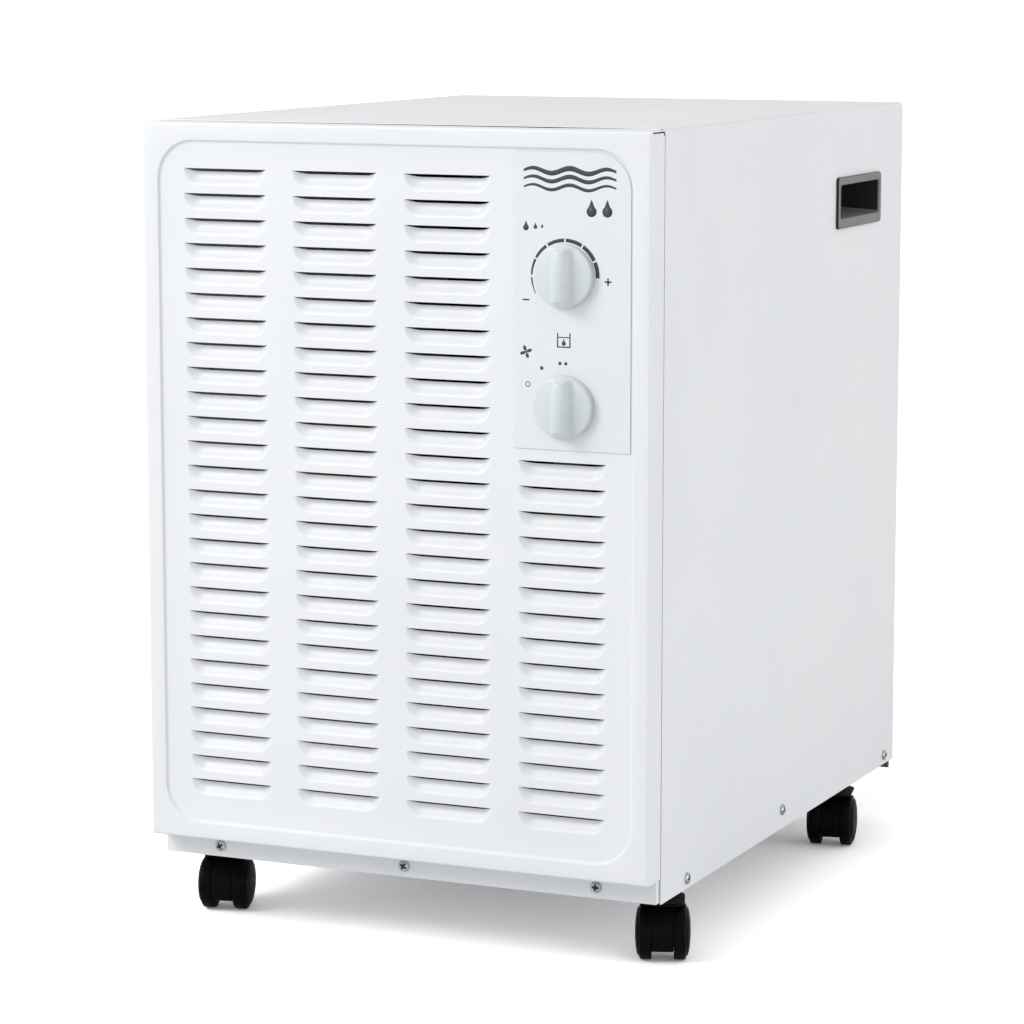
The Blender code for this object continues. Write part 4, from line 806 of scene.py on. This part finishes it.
def make_label_marks():
    ink = Print()
    dial = label_place("humidistat")
    # the scale: seven dashes that grow thicker
    spans = ((210, 184), (180, 154), (151, 125), (121.6, 92), (89, 60), (57, 27), (24, -2))
    widths = (0.5, 1.2, 1.8, 2.2, 2.4, 2.6, 2.7, 2.8)
    for (start, end), thin, thick in zip(spans, widths, widths[1:]):
        ink.arc(dial, 25.3, start, end, thin, thick)
    u, w = dial
    # less and more, at the two ends of the scale
    ink.bar(u - 31.5, w + 16.6, 5.0, 1.1)
    ink.bar(u + 29.0, w + 2.6, 5.0, 1.1)
    ink.bar(u + 30.95, w + 0.65, 1.1, 5.0)
    ink.drop(u - 29.0, w - 33.5, 2.6)
    ink.drop(u - 22.0, w - 33.5, 1.7)
    ink.drop(u - 17.0, w - 33.5, 1.1)
    selector_marks(ink, *label_place("selector"))
    ink.done("label_marks", INK)
    motif = Print()
    for i, height in enumerate((3.6, 3.0, 2.4)):
        motif.waves(7.0, 12.6 + 5.6 * i, 68.0, height, 1.7, 2.5)
    for u_drop, size in ((57.0, 4.6), (68.5, 4.6)):
        motif.drop(u_drop, 37.0, size)
    motif.done("label_wave_motif", INK)


def fan_mark(ink, u, w):
    """Four blades round a hub."""
    for quarter in range(4):
        angle = math.radians(90 * quarter + 20)
        cos, sin = math.cos(angle), math.sin(angle)
        points = []
        for i in range(20):
            turn = math.tau * i / 20
            along, across = 2.6 + 2.0 * math.cos(turn), 1.15 * math.sin(turn)
            points.append((u + along * cos + across * sin, w - along * sin + across * cos))
        ink.shape(points)
    ink.dot(u, w, 0.7)


def selector_marks(ink, u, w):
    """Off, fan alone, and drying into the tank."""
    ink.arc((u - 27.5, w - 14.5), 1.9, 90, 449.9, 0.55, 0.55, 28)
    ink.dot(u - 17.2, w - 26.0, 1.3)
    ink.dot(u - 3.7, w - 29.7, 1.2)
    ink.dot(u + 0.6, w - 29.7, 1.2)
    fan_mark(ink, u - 28.9, w - 36.7)
    left, top = u - 5.9, w - 50.5
    for bar in ((0, 0, 0.9, 10), (9.1, 0, 0.9, 10), (0.9, 9.1, 8.2, 0.9), (0.9, 2.6, 8.2, 0.7)):
        ink.bar(left + bar[0], top + bar[1], bar[2], bar[3])
    ink.drop(left + 5.0, top + 6.1, 1.9)


# ---- casters ----


def wheel_outline(inner, outer, radius):
    """(radius, distance along the axle) of a hard tread, a stepped shoulder and a domed hub cap."""
    tread = inner + (outer - inner) * 0.62
    return (
        (2.4, inner),
        (radius - 1.0, inner),
        (radius - 0.3, inner + 0.3),
        (radius, inner + 1.0),
        (radius, tread),
        (radius - 0.25, tread + 0.6),
        (radius - 0.9, tread + 1.1),
        (radius - 1.6, tread + 1.35),
        (radius - 1.9, tread + 1.2),
        (radius - 2.3, tread + 1.25),
        (radius - 3.4, outer - 1.75),
        (radius * 0.66, outer - 0.9),
        (radius * 0.48, outer - 0.4),
        (radius * 0.30, outer - 0.1),
        (radius * 0.12, outer),
    )


def make_wheel(corner, which):
    node = f"caster_{corner}_wheel_{which}"
    joint = joints[f"roll_{corner}_{which}"]
    centre, axis = Vector(joint["pos_m"]), Vector(joint["axis"]).normalized()
    along = [(vert.co - centre).dot(axis) for vert in nodes[node].data.vertices]
    side = 1 if sum(along) > 0 else -1
    reach = sorted(abs(value) for value in along)
    inner, outer = reach[0] - WHEEL_INNER_GAP, reach[-1]
    up = Vector((0, 0, 1))
    across = axis.cross(up)
    radius = centre.z / MM
    loops = []
    for r, out in wheel_outline(inner / MM, outer / MM, radius):
        loop = []
        for i in range(WHEEL_STEPS):
            angle = math.tau * i / WHEEL_STEPS
            spoke = up * math.cos(angle) + across * math.sin(angle)
            loop.append(centre + spoke * r * MM + axis * side * out * MM)
        loops.append(loop)
    bm = bmesh.new()
    rows = loops_mesh(bm, loops)
    bm.faces.new(rows[0])
    bm.faces.new(rows[-1])
    bmesh.ops.recalc_face_normals(bm, faces=bm.faces)
    wheel = new_object(node + "_shape", bm, BLACK)
    wheel.data.set_sharp_from_angle(angle=math.radians(48))
    place(wheel, body_of[node], "black_plastic", (node,))


def make_casters():
    for corner in ("front_left", "front_right", "rear_left", "rear_right"):
        refined(f"caster_{corner}_hood", BLACK, "black_plastic", 0.0007, 3)
        dress(ZINC, f"caster_{corner}_plate")
        for which in ("a", "b"):
            make_wheel(corner, which)


# ---- the rest of the cabinet ----


def make_cabinet():
    refined("cabinet_cover", WHITE, "white_enamel", 0.0003)
    refined("base_pan", WHITE, "white_enamel", 0.0004)
    refined("rear_panel", WHITE, "white_enamel", 0.0003)
    refined("control_label", FILM, "label_film", 0.00012)
    refined("filter_frame", SLATE, "slate_plastic", 0.0004)
    refined("water_tank", SLATE, "slate_plastic", 0.0006, 3)
    refined("mains_lead_gland", BLACK, "black_plastic", 0.0003)
    refined("coil_deck", GALVANISED, "galvanised_steel", 0.0003)
    refined("control_bracket", GALVANISED, "galvanised_steel", 0.0003)


def dress_inside():
    dress(GALVANISED, "splash_wall", "motor_strap")
    dress(TRAY, "drip_tray")
    dress(SLATE, "tank_rail_left", "tank_rail_right", "tank_float")
    dress(BLACK, "humidistat_body", "selector_body", "tank_switch", "fan_shroud", "fan_impeller")
    dress(ZINC, "humidistat_shaft", "selector_shaft", "fan_shaft", "fan_motor")
    dress(ENAMEL, "compressor")
    dress(RUBBER, "compressor_foot_1", "compressor_foot_2", "compressor_foot_3")
    dress(FINS, "evaporator_fins", "condenser_fins", "run_capacitor")
    dress(COPPER, "evaporator_tube", "condenser_tube", "discharge_pipe", "suction_pipe")
    dress(FOAM, "filter_mat")


# ---- floor, light and camera ----


def make_floor():
    """Pale floor: what the camera sees of it is lifted to white where no shadow falls."""
    bm = bmesh.new()
    bmesh.ops.create_grid(bm, x_segments=2, y_segments=2, size=FLOOR_HALF)
    look = Look("studio_floor", specular=0.1)
    tone = look.ranged(look.noise(0.8, 2.0), 0.0, 1.0)
    look.paint(look.blend(tone, (0.76, 0.76, 0.76, 1), (0.75, 0.75, 0.755, 1)))
    look.rough(look.ranged(look.noise(3.0), 0.85, 0.95))
    bright = look.node("ShaderNodeBsdfDiffuse")
    bright.inputs["Color"].default_value = (FLOOR_GAIN, FLOOR_GAIN, FLOOR_GAIN, 1)
    mixed = look.node("ShaderNodeMixShader")
    glowing = look.node("ShaderNodeAddShader")
    emission = look.node("ShaderNodeEmission")
    emission.inputs["Strength"].default_value = FLOOR_LIFT
    look.link(bright.outputs["BSDF"], glowing.inputs[0])
    look.link(emission.outputs["Emission"], glowing.inputs[1])
    look.link(look.node("ShaderNodeLightPath").outputs["Is Camera Ray"], mixed.inputs[0])
    look.link(look.shader.outputs["BSDF"], mixed.inputs[1])
    look.link(glowing.outputs["Shader"], mixed.inputs[2])
    look.link(mixed.outputs["Shader"], look.tree.nodes["Material Output"].inputs["Surface"])
    new_object("floor", bm, look.material)


def make_world():
    """A white room, a little darker overhead. The camera itself sees plain white behind the object."""
    world = bpy.data.worlds.new("studio")
    scene.world = world
    world.use_nodes = True
    tree = world.node_tree
    background = tree.nodes["Background"]
    direction = tree.nodes.new("ShaderNodeTexCoord")
    lean = tree.nodes.new("ShaderNodeVectorMath")
    lean.operation = "DOT_PRODUCT"
    lean.inputs[1].default_value = (0.04, -0.04, -0.18)
    tree.links.new(direction.outputs["Generated"], lean.inputs[0])
    level = tree.nodes.new("ShaderNodeMath")
    level.operation = "MULTIPLY_ADD"
    level.inputs[1].default_value = 1.0
    level.inputs[2].default_value = 0.90
    tree.links.new(lean.outputs["Value"], level.inputs[0])
    seen = tree.nodes.new("ShaderNodeLightPath")
    pick = tree.nodes.new("ShaderNodeMix")
    pick.inputs[3].default_value = 1.0
    tree.links.new(seen.outputs["Is Camera Ray"], pick.inputs[0])
    tree.links.new(level.outputs["Value"], pick.inputs[2])
    tree.links.new(pick.outputs[0], background.inputs["Strength"])
    background.inputs["Color"].default_value = (0.995, 0.998, 1.0, 1.0)


def make_soft_box(name, towards, distance, size, energy):
    light = bpy.data.lights.new(name, "AREA")
    light.shape = "RECTANGLE"
    light.size, light.size_y = size
    light.energy = energy
    lamp = bpy.data.objects.new(name, light)
    towards = Vector(towards).normalized()
    lamp.location = Vector(LIGHTS_AIM) + towards * distance
    lamp.rotation_euler = towards.to_track_quat("Z", "Y").to_euler()
    scene.collection.objects.link(lamp)


def make_lights():
    """A large box high in front on the left, and a low weaker one that fills the right side."""
    make_soft_box("key_box", (-0.6, -0.75, 0.65), 3.2, (1.3, 1.3), 50)
    make_soft_box("side_box", (1.0, 0.13, 0.07), 4.2, (0.7, 1.1), 38)


def make_camera():
    data = bpy.data.cameras.new("camera")
    data.lens = 127.94
    data.sensor_width = 36
    data.clip_end = 200
    camera = bpy.data.objects.new("camera", data)
    camera.location = (1.0996, -2.5278, 0.6991)
    camera.rotation_euler = (math.radians(90 - 8.60), 0, math.radians(23.99))
    scene.collection.objects.link(camera)
    scene.camera = camera


def main():
    make_camera()
    make_world()
    make_lights()
    make_floor()
    make_front_panel()
    make_handle("handle_left", -1)
    make_handle("handle_right", 1)
    make_cabinet()
    for kind in dial_seats:
        make_knob(kind)
    make_screws()
    make_label_marks()
    make_casters()
    dress_inside()
    scene.view_settings.view_transform = "Standard"


main()
